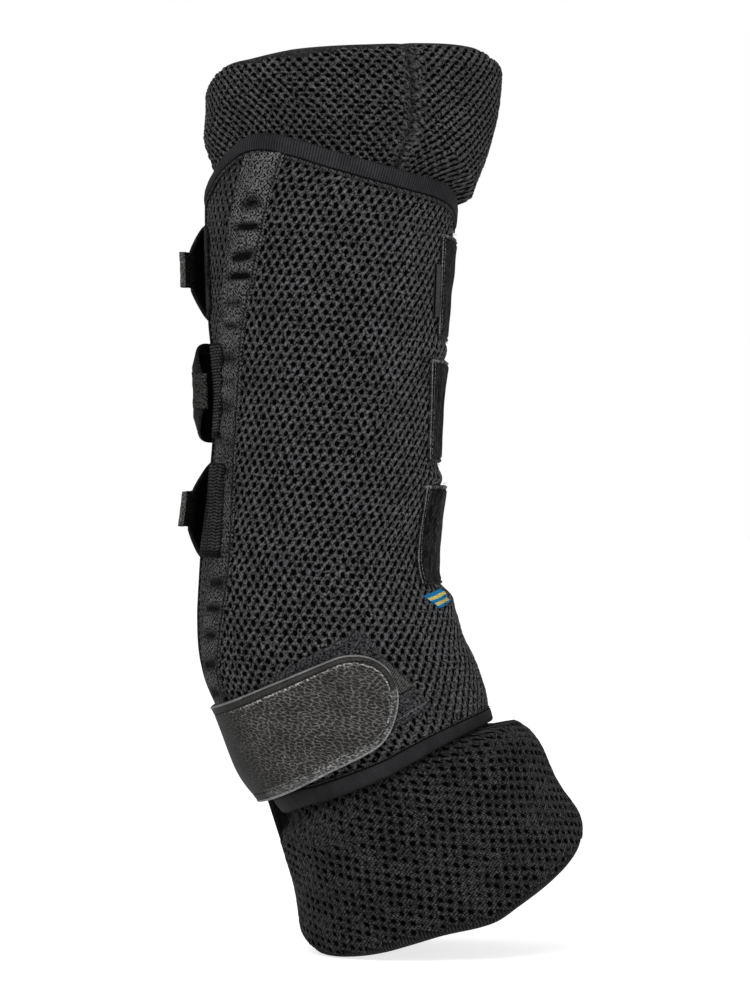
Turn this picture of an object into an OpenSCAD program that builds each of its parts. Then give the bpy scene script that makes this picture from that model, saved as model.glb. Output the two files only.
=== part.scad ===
// Padded lower-leg boot for a horse: a spacer-mesh shell over a padded liner, closed round the
// cannon by three straps and round the fetlock by a wider one. +X is the front of the leg, +Y the
// outer side, where it opens, and +Z points up. The origin lies on the leg's axis behind strap 2.

/* [Leg form] */
// Width of the cannon at the middle strap, front to back
cannon_w = 112; // [100:1:124]
// Depth of the cannon at the middle strap, side to side
cannon_d = 108; // [98:1:112]
// Width at the shell's top edge, front to back
top_w = 125; // [114:1:134]
// Width of the cuff, front to back
cuff_w = 138; // [128:1:148]
// Depth of the cuff, side to side
cuff_d = 111; // [102:1:113]
// Width round the fetlock, front to back
fetlock_w = 132; // [122:1:140]
// Depth round the fetlock, side to side
fetlock_d = 114; // [104:1:116]
// Width of the pastern at the shell's lower edge
pastern_w = 114; // [108:1:120]
// Width of the skirt near its rim
skirt_w = 143; // [132:1:150]
// Height from the origin to the shell's front top corner
shell_rise = 98; // [90:1:110]
// Height of the cuff above that corner, at the front
cuff_h = 66; // [58:1:76]
// Drop from the origin to the shell's lower edge
pastern_drop = 183; // [172:1:196]
// Length of the skirt below the shell, on the leg's axis
skirt_h = 67; // [56:1:76]
// Slant of the pastern below the fetlock, in degrees
pastern_tilt = 24; // [14:1:28]

/* [Layers] */
// Thickness of the shell's spacer mesh
shell_t = 3; // [2.2:0.1:3.4]
// Thickness of the liner's outer mesh inside the shell
mesh_t = 2; // [1.4:0.1:2.4]
// Thickness of the wadding
wadding_t = 2.2; // [1.4:0.1:2.6]
// Thickness of the lining against the leg
lining_t = 1; // [0.6:0.1:1.4]
// How far cuff and skirt puff out past the shell's face
puff = 4; // [2.5:0.1:4.5]
// How much further they puff out in front
front_puff = 2.5; // [0:0.1:3]
// Space between neighbouring layers
layer_gap = 0.3; // [0.2:0.05:0.4]

/* [Straps] */
// Width of the three cannon straps
strap_w = 50; // [40:1:54]
// Height of strap 1 above the origin, at the back
strap_1_z = 64; // [60:1:68]
// Height of strap 2, at the back
strap_2_z = 4; // [0:1:8]
// Height of strap 3, at the back
strap_3_z = -55; // [-58:1:-51]
// Drop of a strap from the back to its anchor at the front
strap_fall = 10; // [4:1:14]
// Thickness of the leatherette
leather_t = 1.4; // [1.1:0.1:1.7]
// Thickness of the elastic bands
elastic_t = 1.3; // [1:0.1:1.6]
// Thickness of loop, hook and knit patches
patch_t = 0.7; // [0.5:0.05:0.9]
// How far the tips of the cannon straps stand off the shell
tip_lift = 7; // [5:0.5:9]
// Radius of the cannon straps' tip corners
tip_r = 24; // [12:1:26]
// Width of the fetlock strap at the back, along the leg's axis
fetlock_strap_w = 37; // [30:1:38]
// Angle round the leg where the fetlock strap ends
fetlock_tip = 110.5; // [100:0.5:112]
// Running space between a strap and what it crosses
strap_gap = 0.9; // [0.8:0.05:0.98]
// Running space between the fetlock strap's hooks and its landing patch
fetlock_gap = 2.2; // [2:0.05:2.4]

/* [Edges and trims] */
// Height of the binding along the shell's top
top_binding_h = 10; // [7:0.5:12]
// Height of the binding along the shell's lower edge
hem_binding_h = 7.5; // [6:0.5:9]
// Width of the bindings on the closing edges
edge_binding_w = 7; // [5:0.5:8]
// Thickness of the binding tape
binding_t = 0.7; // [0.5:0.05:0.9]
// Width of the ribbon over the back seam
ribbon_w = 22; // [16:1:24]
// Width of the opening slit at the back
slit_w = 2.4; // [2:0.1:3]

/* [Hinges] */
// Lean of the flap's fold line, in degrees: its lower end lies further forward
fold_lean = 4.5; // [3.5:0.1:5.5]
// Gap left at the fold between fixed and moving pieces
fold_gap = 1; // [0.8:0.1:1.6]

/* [Hidden] */

// ---- the leg form ----
// Each section is an ellipse: level of its centre, forward shift of its centre, slant, half
// width and half depth. The form runs smoothly through them.
rim_z = -pastern_drop - skirt_h;
cuff_z = shell_rise + cuff_h;
waist_x = -1;
pastern_x = 27.5;
rim_x = 60;
cuff_x = 10.5;

function section(z, x, slant, w, d) = [z, x, slant * pastern_tilt, w / 2, d / 2];
SECTIONS = [
    section(rim_z - 15, rim_x + 4, 1, skirt_w, fetlock_d - 1),
    section(rim_z + 12, rim_x - 6, 1, skirt_w - 2, fetlock_d - 1),
    section(-pastern_drop - skirt_h / 2, pastern_x + 17, 1, (skirt_w + pastern_w) / 2 + 1, fetlock_d - 1),
    section(-pastern_drop - 13, pastern_x + 8, 1, pastern_w + 10, fetlock_d - 2),
    section(-pastern_drop, pastern_x, 0.95, pastern_w, fetlock_d - 3),
    section(-pastern_drop * 0.89, pastern_x - 11, 0.73, (pastern_w + fetlock_w) / 2 + 1.5, fetlock_d - 1),
    section(-pastern_drop * 0.77, pastern_x - 20, 0.48, fetlock_w - 2, fetlock_d),
    section(-pastern_drop * 0.7, waist_x + 3.5, 0.33, fetlock_w - 1, fetlock_d),
    section(-pastern_drop * 0.61, waist_x, 0.19, fetlock_w - 3, fetlock_d),
    section(-pastern_drop * 0.44, waist_x - 5, 0, (fetlock_w + cannon_w) / 2 - 6, (fetlock_d + cannon_d) / 2),
    section(-pastern_drop * 0.25, waist_x - 2.5, 0, cannon_w + 1, cannon_d),
    section(0, waist_x, 0, cannon_w, cannon_d),
    section(shell_rise / 2, waist_x, 0, (cannon_w + top_w) / 2 + 0.5, (cannon_d + cuff_d) / 2),
    section(shell_rise, waist_x + 2, 0, top_w, cuff_d),
    section(shell_rise + cuff_h * 0.4, waist_x + 7.5, 0, (top_w + cuff_w) / 2 + 0.5, cuff_d),
    section(shell_rise + cuff_h * 0.8, cuff_x - 0.5, 0, cuff_w - 2, cuff_d),
    section(cuff_z + 25, cuff_x, 0, cuff_w, cuff_d),
];

// Smooth curve through rows of a table: value of column c where column 0 is x
function slope(t, i, c) =
    let(a = max(i - 1, 0), b = min(i + 1, len(t) - 1))
    (t[b][c] - t[a][c]) / (t[b][0] - t[a][0]);
function segment(t, x, i = 0) = i >= len(t) - 2 || x < t[i + 1][0] ? i : segment(t, x, i + 1);
function smooth(t, x, c = 1) =
    let(
        i = segment(t, x),
        h = t[i + 1][0] - t[i][0],
        s = min(max((x - t[i][0]) / h, 0), 1)
    )
    (1 + 2 * s) * (1 - s) ^ 2 * t[i][c] + s * (1 - s) ^ 2 * h * slope(t, i, c)
        + s ^ 2 * (3 - 2 * s) * t[i + 1][c] + s ^ 2 * (s - 1) * h * slope(t, i + 1, c);

// Point of the form: angle round the leg (0 at the back, 90 on the inner side, 180 in front),
// level on the leg's axis, and distance out from the shell's face
function leg_point(q) =
    let(
        angle = q[0],
        level = q[1],
        x = smooth(SECTIONS, level, 1),
        slant = smooth(SECTIONS, level, 2),
        reach = -(smooth(SECTIONS, level, 3) + q[2]) * cos(angle),
        side = -(smooth(SECTIONS, level, 4) + q[2]) * sin(angle)
    )
    [x + reach * cos(slant), side, level + reach * sin(slant)];

// Millimetres along the form for one degree round it, at a level
function per_degree(level) =
    (smooth(SECTIONS, level, 3) + smooth(SECTIONS, level, 4)) / 2 * PI / 180;

function mix(a, b, s) = a + (b - a) * s;
function ease(s) = let(t = min(max(s, 0), 1)) t * t * (3 - 2 * t);
function steps(n) = [for (i = [0:n]) i / n];

// A closed sheet: spot(u, w, side) gives [angle, level, distance] of its inner face at side 0
// and its outer face at side 1. u runs round the leg and w up it.
module sheet(us, ws, spot) {
    n = len(us);
    m = len(ws);
    points = [for (side = [0, 1]) for (u = us) for (w = ws) leg_point(spot(u, w, side))];
    function at(side, i, j) = (side * n + i) * m + j;
    function quad(a, b, c, d) = [[a, b, c], [a, c, d]];
    faces = concat(
        [for (i = [0:n - 2]) for (j = [0:m - 2])
            each quad(at(1, i, j), at(1, i, j + 1), at(1, i + 1, j + 1), at(1, i + 1, j))],
        [for (i = [0:n - 2]) for (j = [0:m - 2])
            each quad(at(0, i, j), at(0, i + 1, j), at(0, i + 1, j + 1), at(0, i, j + 1))],
        [for (i = [0:n - 2]) each quad(at(0, i, 0), at(1, i, 0), at(1, i + 1, 0), at(0, i + 1, 0))],
        [for (i = [0:n - 2])
            each quad(at(0, i, m - 1), at(0, i + 1, m - 1), at(1, i + 1, m - 1), at(1, i, m - 1))],
        [for (j = [0:m - 2]) each quad(at(0, 0, j), at(0, 0, j + 1), at(1, 0, j + 1), at(1, 0, j))],
        [for (j = [0:m - 2])
            each quad(at(0, n - 1, j), at(1, n - 1, j), at(1, n - 1, j + 1), at(0, n - 1, j + 1))]
    );
    polyhedron(points, faces, convexity = 6);
}

// ---- edges, as levels at an angle; both sides of the leg are alike ----
function fold_over(angle) = angle > 180 ? 360 - angle : abs(angle);

TOP_EDGE = [
    [0, 6.5], [15, 12.5], [30, 23], [45, 30.5], [58, 31], [90, 21], [120, 13],
    [150, 7.5], [168, 2], [180, -5],
];
CUFF_RIM = [[0, -8], [20, -3], [36, 1], [67, 6], [100, 8.5], [130, 10], [150, 9.5], [180, 4]];
SKIRT_RIM = [
    [0, 16], [12, 14], [22, 6], [35, 0.5], [55, -5.5], [83, -9], [105, -12.5], [118, -9.5],
    [141, -6.5], [160, -2], [180, 5],
];
function top_edge(angle) = shell_rise + smooth(TOP_EDGE, fold_over(angle));
function hem_edge(angle) = -pastern_drop;
function cuff_rim(angle) = cuff_z + smooth(CUFF_RIM, fold_over(angle));
function skirt_rim(angle) = rim_z + smooth(SKIRT_RIM, fold_over(angle));

// Angle of the fold at a level: where the form meets the leaning plane of the fold line
function fold_angle(level) =
    let(slant = smooth(SECTIONS, level, 2), lean = tan(fold_lean))
    acos((smooth(SECTIONS, level, 1) + lean * level)
        / smooth(SECTIONS, level, 3) / (cos(slant) + lean * sin(slant)));
function fold_slack(level) = fold_gap / 2 / per_degree(level);

// The back slit, just on the outer side of the leg's back
slit_angle = -9;
function slit_slack(level) = slit_w / 2 / per_degree(level);

// Limits round the leg of the fixed side and of the opening flap, at a level
function fixed_from(level) = slit_angle + slit_slack(level);
function fixed_to(level) = 360 - fold_angle(level) - fold_slack(level);
function flap_from(level) = -fold_angle(level) + fold_slack(level);
function flap_to(level) = slit_angle - slit_slack(level);

// ---- layers, as distances from the shell's face ----
shell_in = -shell_t;
binding_clear = 0.4;
mesh_out = shell_in - binding_clear - binding_t - binding_clear;
mesh_in = mesh_out - mesh_t;
wadding_out = mesh_in - layer_gap;
wadding_in = wadding_out - wadding_t;
lining_out = wadding_in - layer_gap;
lining_in = lining_out - lining_t;
rim_roll = 3;

// 0 under the shell, 1 on the cuff and the skirt
cuff_run = 24;
skirt_run = 12;
function puffed(angle, level) =
    max(
        ease((level - top_edge(angle) - 0.8) / cuff_run),
        ease((hem_edge(angle) - 0.8 - level) / skirt_run)
    );
// Cuff and skirt stand further out in front than at the back
function puff_at(angle) = puff + front_puff * (1 - cos(angle)) / 2;
// 1 at the very rims, where the padding rolls in
function rolled(angle, level) =
    max(
        1 - (cuff_rim(angle) - level) / rim_roll,
        1 - (level - skirt_rim(angle)) / rim_roll,
        0
    );
function mesh_face(angle, level, side) =
    side == 1
        ? mix(mesh_out, puff_at(angle), puffed(angle, level)) - rim_roll * rolled(angle, level) ^ 2
        : mix(mesh_in, mesh_in + puff, puffed(angle, level)) + 0.3 * rim_roll * rolled(angle, level);

// Rows of levels up the liner, dense where cuff and skirt leave the shell: low_angle is the
// angle down at the rim of the skirt and high_angle the one up at the cuff
function liner_rows(low_angle, high_angle) =
    let(
        rim = skirt_rim(low_angle),
        hem = hem_edge(low_angle),
        top = top_edge(high_angle),
        cuff = cuff_rim(high_angle)
    )
    concat(
        [rim, rim + 1.2, rim + rim_roll],
        [for (s = [0.35, 0.7]) mix(rim + rim_roll, hem - 14, s)],
        [hem - 14, hem - 9, hem - 5, hem - 0.8, hem + 6],
        [for (s = [0.07:0.06:0.44]) mix(hem, top, s)],
        [for (s = [0.53:0.12:0.9]) mix(hem, top, s)],
        [top - 8, top + 0.8, top + 7, top + 12, top + 18],
        [mix(top + 18, cuff - rim_roll, 0.5)],
        [cuff - rim_roll, cuff - 1.2, cuff]
    );
LINER_LEVELS = [for (i = [0:len(liner_rows(0, 0)) - 1]) i];
SHELL_ROWS = concat([for (s = [0:0.04:0.33]) s], [0.38, 0.46, 0.55, 0.64, 0.73, 0.82, 0.9, 0.96, 1]);

fixed_steps = steps(28);
flap_steps = steps(8);

// Angle at share u of the fixed side, or of the flap, at a level
function fixed_angle(u, level) = mix(fixed_from(level), fixed_to(level), u);
function flap_angle(u, level) = mix(flap_from(level), flap_to(level), u);

// ---- liner ----
// A liner layer over the whole height, between the closing edge and the fold. Every layer shares
// one grid.
module liner_layer(us, angle_at, face) {
    spot = function(u, j, side)
        let(
            low_angle = angle_at(u, rim_z),
            high_angle = angle_at(u, shell_rise),
            level = liner_rows(low_angle, high_angle)[j],
            edge_angle = level > 0 ? high_angle : low_angle
        )
        [angle_at(u, level), level, face(edge_angle, level, side)];
    sheet(us, LINER_LEVELS, spot);
}

wadding_face = function(angle, level, side)
    (side == 1 ? wadding_out : wadding_in) + puff * 0.6 * puffed(angle, level)
        + (side == 1 ? -0.9 : 0) * rolled(angle, level);
lining_face = function(angle, level, side)
    (side == 1 ? lining_out : lining_in) + puff * 0.4 * puffed(angle, level);
outer_mesh_face = function(angle, level, side) mesh_face(angle, level, side);
at_fixed = function(u, level) fixed_angle(u, level);
at_flap = function(u, level) flap_angle(u, level);

module liner_mesh() color([0.17, 0.17, 0.19]) liner_layer(fixed_steps, at_fixed, outer_mesh_face);
module liner_wadding() color([0.75, 0.75, 0.72]) liner_layer(fixed_steps, at_fixed, wadding_face);
module liner_lining() color([0.22, 0.22, 0.24]) liner_layer(fixed_steps, at_fixed, lining_face);
module flap_mesh() color([0.17, 0.17, 0.19]) liner_layer(flap_steps, at_flap, outer_mesh_face);
module flap_wadding() color([0.75, 0.75, 0.72]) liner_layer(flap_steps, at_flap, wadding_face);
module flap_lining() color([0.22, 0.22, 0.24]) liner_layer(flap_steps, at_flap, lining_face);

// ---- shell ----
edge_inset = 1.6;
function shell_low(angle) = hem_edge(angle) + edge_inset;
function shell_high(angle) = top_edge(angle) - edge_inset;
function shell_level(angle, w) = mix(shell_low(angle), shell_high(angle), w);

// A panel of the shell between two angles, each given at a level
module shell_panel(us, from, to) {
    spot = function(u, w, side)
        let(
            top_angle = mix(from(shell_rise), to(shell_rise), u),
            level = shell_level(top_angle, w)
        )
        [mix(from(level), to(level), u), level, side == 1 ? 0 : shell_in];
    sheet(us, SHELL_ROWS, spot);
}

seam_gap = 0.4;
// Angle of the back seam, which the ribbon covers, at a level
RIBBON_LINE = [
    [-195, 9], [-140, 16], [-110, 27], [-80, 33], [-25, 28], [20, 32], [60, 43.5],
    [110, 54], [135, 58],
];
function seam_angle(level) = smooth(RIBBON_LINE, level);
function seam_slack(level) = seam_gap / 2 / per_degree(level);
front_seam = 172;
function edge_slack(level) = edge_inset / per_degree(level);
back_from = function(level) fixed_from(level) + edge_slack(level);
back_to = function(level) seam_angle(level) - seam_slack(level);
medial_from = function(level) seam_angle(level) + seam_slack(level);
medial_to = function(level) front_seam - seam_slack(level);
front_from = function(level) front_seam + seam_slack(level);
front_to = function(level) fixed_to(level);
flap_panel_from = function(level) flap_from(level);
flap_panel_to = function(level) flap_to(level) - edge_slack(level);

module shell_back_panel() color([0.2, 0.2, 0.22]) shell_panel(steps(5), back_from, back_to);
module shell_medial_panel() color([0.2, 0.2, 0.22]) shell_panel(steps(14), medial_from, medial_to);
module shell_front_panel() color([0.2, 0.2, 0.22]) shell_panel(steps(10), front_from, front_to);
module flap_panel() color([0.2, 0.2, 0.22]) shell_panel(flap_steps, flap_panel_from, flap_panel_to);

// ---- bindings: a channel folded over the panel's edge ----
// Path of the channel: [distance past the edge, distance from the shell's face] of its hollow
// side and of its outer side, from the tip of the outer leg round to the tip of the inner leg
leg_out = binding_clear + binding_t;
leg_in = shell_in - binding_clear - binding_t;
function channel(reach, inner_reach) = [
    [[-reach, binding_clear], [-reach, leg_out]],
    [[-0.9, binding_clear], [-0.8, leg_out]],
    [[-0.4, -0.3], [0.5, -0.4]],
    [[-0.4, shell_in + 0.3], [0.5, shell_in + 0.4]],
    [[-0.9, shell_in - binding_clear], [-0.8, leg_in]],
    [[-inner_reach, shell_in - binding_clear], [-inner_reach, leg_in]],
];
CHANNEL_STEPS = [0, 1, 2, 3, 4, 5];
inner_leg = 5;

// Binding along the top edge: the path climbs its outer leg first
module top_channel(us, angle_at) {
    path = channel(top_binding_h, inner_leg);
    spot = function(u, k, side)
        let(
            at = path[k][side],
            level = top_edge(angle_at(u, shell_rise)) + at[0]
        )
        [angle_at(u, level), level, at[1]];
    sheet(us, CHANNEL_STEPS, spot);
}

// Binding along the lower edge: the path comes down its inner leg first
module hem_channel(us, angle_at) {
    path = channel(hem_binding_h, inner_leg);
    spot = function(u, k, side)
        let(at = path[5 - k][side], level = hem_edge(0) - at[0])
        [angle_at(u, level), level, at[1]];
    sheet(us, CHANNEL_STEPS, spot);
}

// Binding up a closing edge between the two other bindings; way is 1 where the panel lies on
// the side of growing angles and -1 where it lies on the other
module edge_channel(edge, way) {
    path = channel(edge_binding_w, inner_leg);
    low = hem_edge(0) + hem_binding_h + 0.4;
    spot = function(k, w, side)
        let(
            at = path[way == 1 ? 5 - k : k][side],
            high = top_edge(slit_angle) - top_binding_h - 1.5,
            level = mix(low, high, w)
        )
        [edge(level) - way * at[0] / per_degree(level), level, at[1]];
    sheet(CHANNEL_STEPS, SHELL_ROWS, spot);
}

fixed_edge = function(level) fixed_from(level);
flap_edge = function(level) flap_to(level);

module top_binding() color([0.26, 0.26, 0.29]) top_channel(fixed_steps, at_fixed);
module hem_binding() color([0.2, 0.2, 0.22]) hem_channel(fixed_steps, at_fixed);
module closing_binding() color([0.26, 0.26, 0.29]) edge_channel(fixed_edge, 1);
module flap_top_binding() color([0.26, 0.26, 0.29]) top_channel(flap_steps, at_flap);
module flap_hem_binding() color([0.2, 0.2, 0.22]) hem_channel(flap_steps, at_flap);
module flap_edge_binding() color([0.26, 0.26, 0.29]) edge_channel(flap_edge, -1);

// ---- ribbon and patches sewn on the fixed side ----
sewn = 0.35;

// A strip up the leg, centred on a line of angles, between two levels
module strip(width, line, low, high, base, t, us, ws) {
    spot = function(u, w, side)
        let(level = mix(low, high, w))
        [line(level) + (u - 0.5) * width / per_degree(level), level, base + side * t];
    sheet(us, ws, spot);
}

ribbon_line = function(level) seam_angle(level);
ribbon_low = -pastern_drop + hem_binding_h + 0.6;
ribbon_high = top_edge(seam_angle(shell_rise)) - top_binding_h - 2.5;
module seam_ribbon() color([0.24, 0.24, 0.26])
    strip(ribbon_w, ribbon_line, ribbon_low, ribbon_high, sewn, patch_t, steps(4), SHELL_ROWS);

// A patch between two angles and two levels
module patch(from, to, low, high, base, t, color_rgb, n = 4, m = 4) {
    spot = function(u, w, side)
        let(level = mix(low, high, w), angle = mix(from(level), to(level), u))
        [angle, level, base + side * t];
    color(color_rgb) sheet(steps(n), steps(m), spot);
}

STRAP_Z = [strap_1_z, strap_2_z, strap_3_z];
// Level of strap i's middle line at an angle: it falls towards its anchor at the front
function strap_level(i, angle) =
    STRAP_Z[i] - strap_fall * ease((fold_over(angle) - 10) / 150) * (i == 2 ? 1.3 : 1);

// The loop patches reach from the closing binding to the ribbon
loop_from = function(level) fixed_from(level) + (edge_binding_w + 0.5) / per_degree(level);
ribbon_side = function(level) seam_angle(level) - (ribbon_w / 2 + 0.4) / per_degree(level);
module loop_patch(i) {
    half = strap_w / 2 - 1.5;
    patch(loop_from, ribbon_side, STRAP_Z[i] - half, STRAP_Z[i] + half, sewn, patch_t, [0.3, 0.3, 0.32]);
}
module loop_patch_1() loop_patch(0);
module loop_patch_2() loop_patch(1);
module loop_patch_3() loop_patch(2);

// ---- anchors and elastic bands ----
// Angles where each strap's anchor starts on the front of the shell, and how far it leans
ANCHOR_ANGLE = [158, 155, 149];
ANCHOR_LEAN = [-0.08, -0.06, 0.14];
anchor_end = 200;
band_base = 0.4;
anchor_base = band_base + elastic_t + 0.2;
anchor_step = 190;
// Height of an anchor over the shell: down on it at first, then up over the band's end
function anchor_height(angle) = mix(sewn, anchor_base, ease((angle - anchor_step + 5) / 5));

module elastic_band(i) {
    start = anchor_step + 1;
    end = 360 - fold_angle(strap_level(i, 270));
    spot = function(u, w, side)
        let(
            angle0 = mix(start, end, u),
            level = strap_level(i, angle0) + (w - 0.5) * (strap_w - 3),
            angle = u == 1 ? fixed_to(level) : angle0
        )
        [angle, level, band_base + side * elastic_t];
    color([0.1, 0.1, 0.1]) sheet(steps(12), steps(3), spot);
}
module elastic_band_1() elastic_band(0);
module elastic_band_2() elastic_band(1);
module elastic_band_3() elastic_band(2);

module strap_anchor(i) {
    start = ANCHOR_ANGLE[i];
    spot = function(u, w, side)
        let(
            angle0 = mix(start, anchor_end, u),
            rise = (w - 0.5) * (strap_w + 1),
            level = strap_level(i, angle0) + rise
        )
        [angle0 + (1 - u) * ANCHOR_LEAN[i] * rise, level, anchor_height(angle0) + side * leather_t];
    angles = concat(
        [for (s = steps(5)) mix(start, anchor_step - 5, s)],
        [anchor_step - 2.5, anchor_step, anchor_end]
    );
    stations = [for (angle = angles) (angle - start) / (anchor_end - start)];
    color([0.16, 0.16, 0.17]) sheet(stations, steps(3), spot);
}
module strap_anchor_1() strap_anchor(0);
module strap_anchor_2() strap_anchor(1);
module strap_anchor_3() strap_anchor(2);

// Flat keeper bar beside the first anchor
keeper_w = 3.5;
keeper_h = 30;
module anchor_keeper() {
    level = strap_level(0, 160) - 5;
    line = function(z) ANCHOR_ANGLE[0] - 3.4 + ANCHOR_LEAN[0] * (z - level);
    color([0.3, 0.3, 0.32])
        strip(keeper_w, line, level - keeper_h / 2, level + keeper_h / 2, sewn, 1.4, steps(2), steps(3));
}

// Folded woven tag in the seam below the third anchor
tag_w = 20;
tag_h = 8;
module side_tag() {
    tag_top = strap_level(2, 160) - strap_w / 2 - 4.5;
    spot = function(u, w, side)
        let(level = tag_top + (w - 1) * tag_h + 3.5 * (u - 0.5))
        [142.5 + u * tag_w / per_degree(level) + (1 - w) * 8, level, sewn + side * 1.1];
    color([0.1, 0.45, 0.75]) sheet(steps(2), steps(2), spot);
}

// ---- cannon straps: from the fold round the back, lifting off towards the tip ----
// Angles where the three tips end
TIP_ANGLE = [7, 6, 7];
lift_from = -42;
strap_base = strap_gap;
// Lift of strap i off the shell at an angle and a share of the half width. The middle strap
// curls back in at its tip and stands off most along its middle line.
function strap_lift(i, angle, across = 0) =
    let(s = (angle - lift_from) / (TIP_ANGLE[i] - lift_from))
    s <= 0 ? 0
        : i == 1 ? (tip_lift + 2.2) * sin(min(s * 145, 145)) ^ 1.4 * (1 - 0.84 * max(abs(across) - 0.5, 0))
        : tip_lift * s ^ 1.5;
// Half width of a strap at a distance from its round-cornered tip
function tip_half(half, radius, d) =
    let(r = min(radius, half))
    d >= r ? half : half - r + sqrt(r * r - (r - max(d, 0)) ^ 2);
STRAP_STEPS = [0, 0.11, 0.22, 0.33, 0.43, 0.52, 0.6, 0.68, 0.75, 0.82, 0.88, 0.93, 0.965, 0.985, 1];

module strap_run(i, from_share, base, t, width, steps_u) {
    spot = function(u, w, side)
        let(
            share = mix(from_share, 1, u),
            start = -fold_angle(strap_level(i, -90)),
            angle0 = mix(start, TIP_ANGLE[i], share),
            rest = (TIP_ANGLE[i] - angle0) * per_degree(STRAP_Z[i]) + 0.6,
            rise = (w * 2 - 1) * tip_half(width / 2, tip_r, rest),
            level = strap_level(i, angle0) + rise,
            angle = share == 0 ? flap_from(level) : angle0
        )
        [angle, level, base + side * t + strap_lift(i, angle0, rise / strap_w * 2)];
    sheet(steps_u, steps(4), spot);
}
module strap(i) color([0.14, 0.14, 0.15]) strap_run(i, 0, strap_base, leather_t, strap_w, STRAP_STEPS);
module strap_1() strap(0);
module strap_2() strap(1);
module strap_3() strap(2);

// Hook patch inside a strap, under its lifted end
hook_inset = 5;
hook_gap = 0.4;
module hook_patch(i) {
    spot = function(u, w, side)
        let(
            angle = mix(-22, TIP_ANGLE[i] - 2.5, u),
            rest = (TIP_ANGLE[i] - 2.5 - angle) * per_degree(STRAP_Z[i]) + 1,
            rise = (w * 2 - 1) * tip_half(strap_w / 2 - hook_inset, tip_r - hook_inset, rest),
            lift = strap_lift(i, angle, rise / strap_w * 2)
        )
        [angle, strap_level(i, angle) + rise, strap_base - hook_gap - patch_t + side * patch_t + lift];
    color([0.05, 0.05, 0.05]) sheet([0, 0.17, 0.34, 0.5, 0.65, 0.78, 0.88, 0.95, 1], steps(4), spot);
}
module hook_patch_1() hook_patch(0);
module hook_patch_2() hook_patch(1);
module hook_patch_3() hook_patch(2);

// Woven pull tab sewn to the outside of a tip
tab_w = 18;
tab_len = 11;
tab_proud = 4.5;
tab_hold = tab_len / (tab_len + tab_proud);
module pull_tab(i) {
    span = tab_len / per_degree(STRAP_Z[i]);
    spot = function(u, w, side)
        let(
            angle = TIP_ANGLE[i] + mix(-span, tab_proud / per_degree(STRAP_Z[i]), u),
            held = min(angle, TIP_ANGLE[i]),
            past = max(angle - TIP_ANGLE[i], 0) * per_degree(STRAP_Z[i]) * (i == 1 ? 0 : 1),
            level = STRAP_Z[i] + 1 + (w - 0.5) * tab_w
        )
        [angle, level, strap_base + leather_t + 0.3 + side * 1.2 + strap_lift(i, held) + past];
    color([0.4, 0.4, 0.4]) sheet(concat(steps(3) * tab_hold, [1]), steps(2), spot);
}
module pull_tab_1() pull_tab(0);
module pull_tab_2() pull_tab(1);
module pull_tab_3() pull_tab(2);

// ---- fetlock strap ----
// Lower edge and width of the strap at an angle, either side of the leg
FETLOCK_LOW = [[0, 6], [40, 6.5], [66, 8.6], [85, 10.5], [97, 13], [110, 18]];
FETLOCK_WIDTH = [[0, 0], [35, 1.5], [65, 4], [85, 7], [95, 8], [110, 8]];
fetlock_tip_r = 18;
function fetlock_low(angle) = -pastern_drop + smooth(FETLOCK_LOW, abs(angle));
function fetlock_width(angle) = fetlock_strap_w + smooth(FETLOCK_WIDTH, abs(angle));
fetlock_base = sewn + patch_t + fetlock_gap + patch_t + hook_gap;
// The strap bridges the hollow at the back of the pastern, so its lower edge stands off there
bridge = 4;
function fetlock_lift(angle, level) =
    bridge * ease((68 - abs(angle)) / 68) * ease((-level - pastern_drop * 0.79) / (pastern_drop * 0.17));
function fetlock_rest(angle) = (fetlock_tip - angle) * per_degree(-pastern_drop * 0.8) + 0.8;
fetlock_fold = fold_angle(-pastern_drop * 0.85);

FETLOCK_STEPS = concat([for (s = [0:0.06:0.79]) s], [0.83, 0.87, 0.9, 0.93, 0.955, 0.975, 0.99, 1]);
module fetlock_run(from, to, inset, base, t, r, us, folded) {
    spot = function(u, w, side)
        let(
            angle0 = mix(from, to, u),
            middle = fetlock_low(angle0) + fetlock_width(angle0) / 2,
            half = tip_half(fetlock_width(angle0) / 2 - inset, r, fetlock_rest(angle0) - inset),
            level = middle + (w * 2 - 1) * half,
            angle = folded && u == 0 ? flap_from(level) : angle0
        )
        [angle, level, base + side * t + fetlock_lift(angle0, level)];
    sheet(us, steps(4), spot);
}
module fetlock_strap() color([0.16, 0.16, 0.17])
    fetlock_run(-fetlock_fold, fetlock_tip, 0, fetlock_base, leather_t, fetlock_tip_r, FETLOCK_STEPS, true);
module fetlock_hook_patch() color([0.05, 0.05, 0.05])
    fetlock_run(42, fetlock_tip - 4, 4, fetlock_base - hook_gap - patch_t, patch_t, fetlock_tip_r - 4,
        [0, 0.1, 0.2, 0.3, 0.4, 0.5, 0.6, 0.69, 0.77, 0.84, 0.9, 0.95, 0.98, 1], false);

// Landing patch under the tip, slanted at its front end, with a woven strip across that end
loop_low = -pastern_drop + 20;
loop_high = -pastern_drop + 69.5;
// Angle of the patch's front edge at a height over the shell's lower edge
LOOP_FRONT = [[20, 125], [37, 121], [56, 117.5], [69.5, 107]];
patch_end = function(level) smooth(LOOP_FRONT, level + pastern_drop);
patch_start = function(level) max(104 - 1.75 * (loop_high - level), 44);
end_start = function(level) patch_end(level) - 9.5;
end_end = function(level) patch_end(level) - 0.8;
module fetlock_loop_patch()
    patch(patch_start, patch_end, loop_low, loop_high, sewn, patch_t, [0.2, 0.2, 0.22], 8, 9);
module fetlock_patch_end()
    patch(end_start, end_end, loop_low + 14, loop_low + 35, sewn + patch_t + 0.25, patch_t,
        [0.35, 0.35, 0.35], 2, 4);

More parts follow.
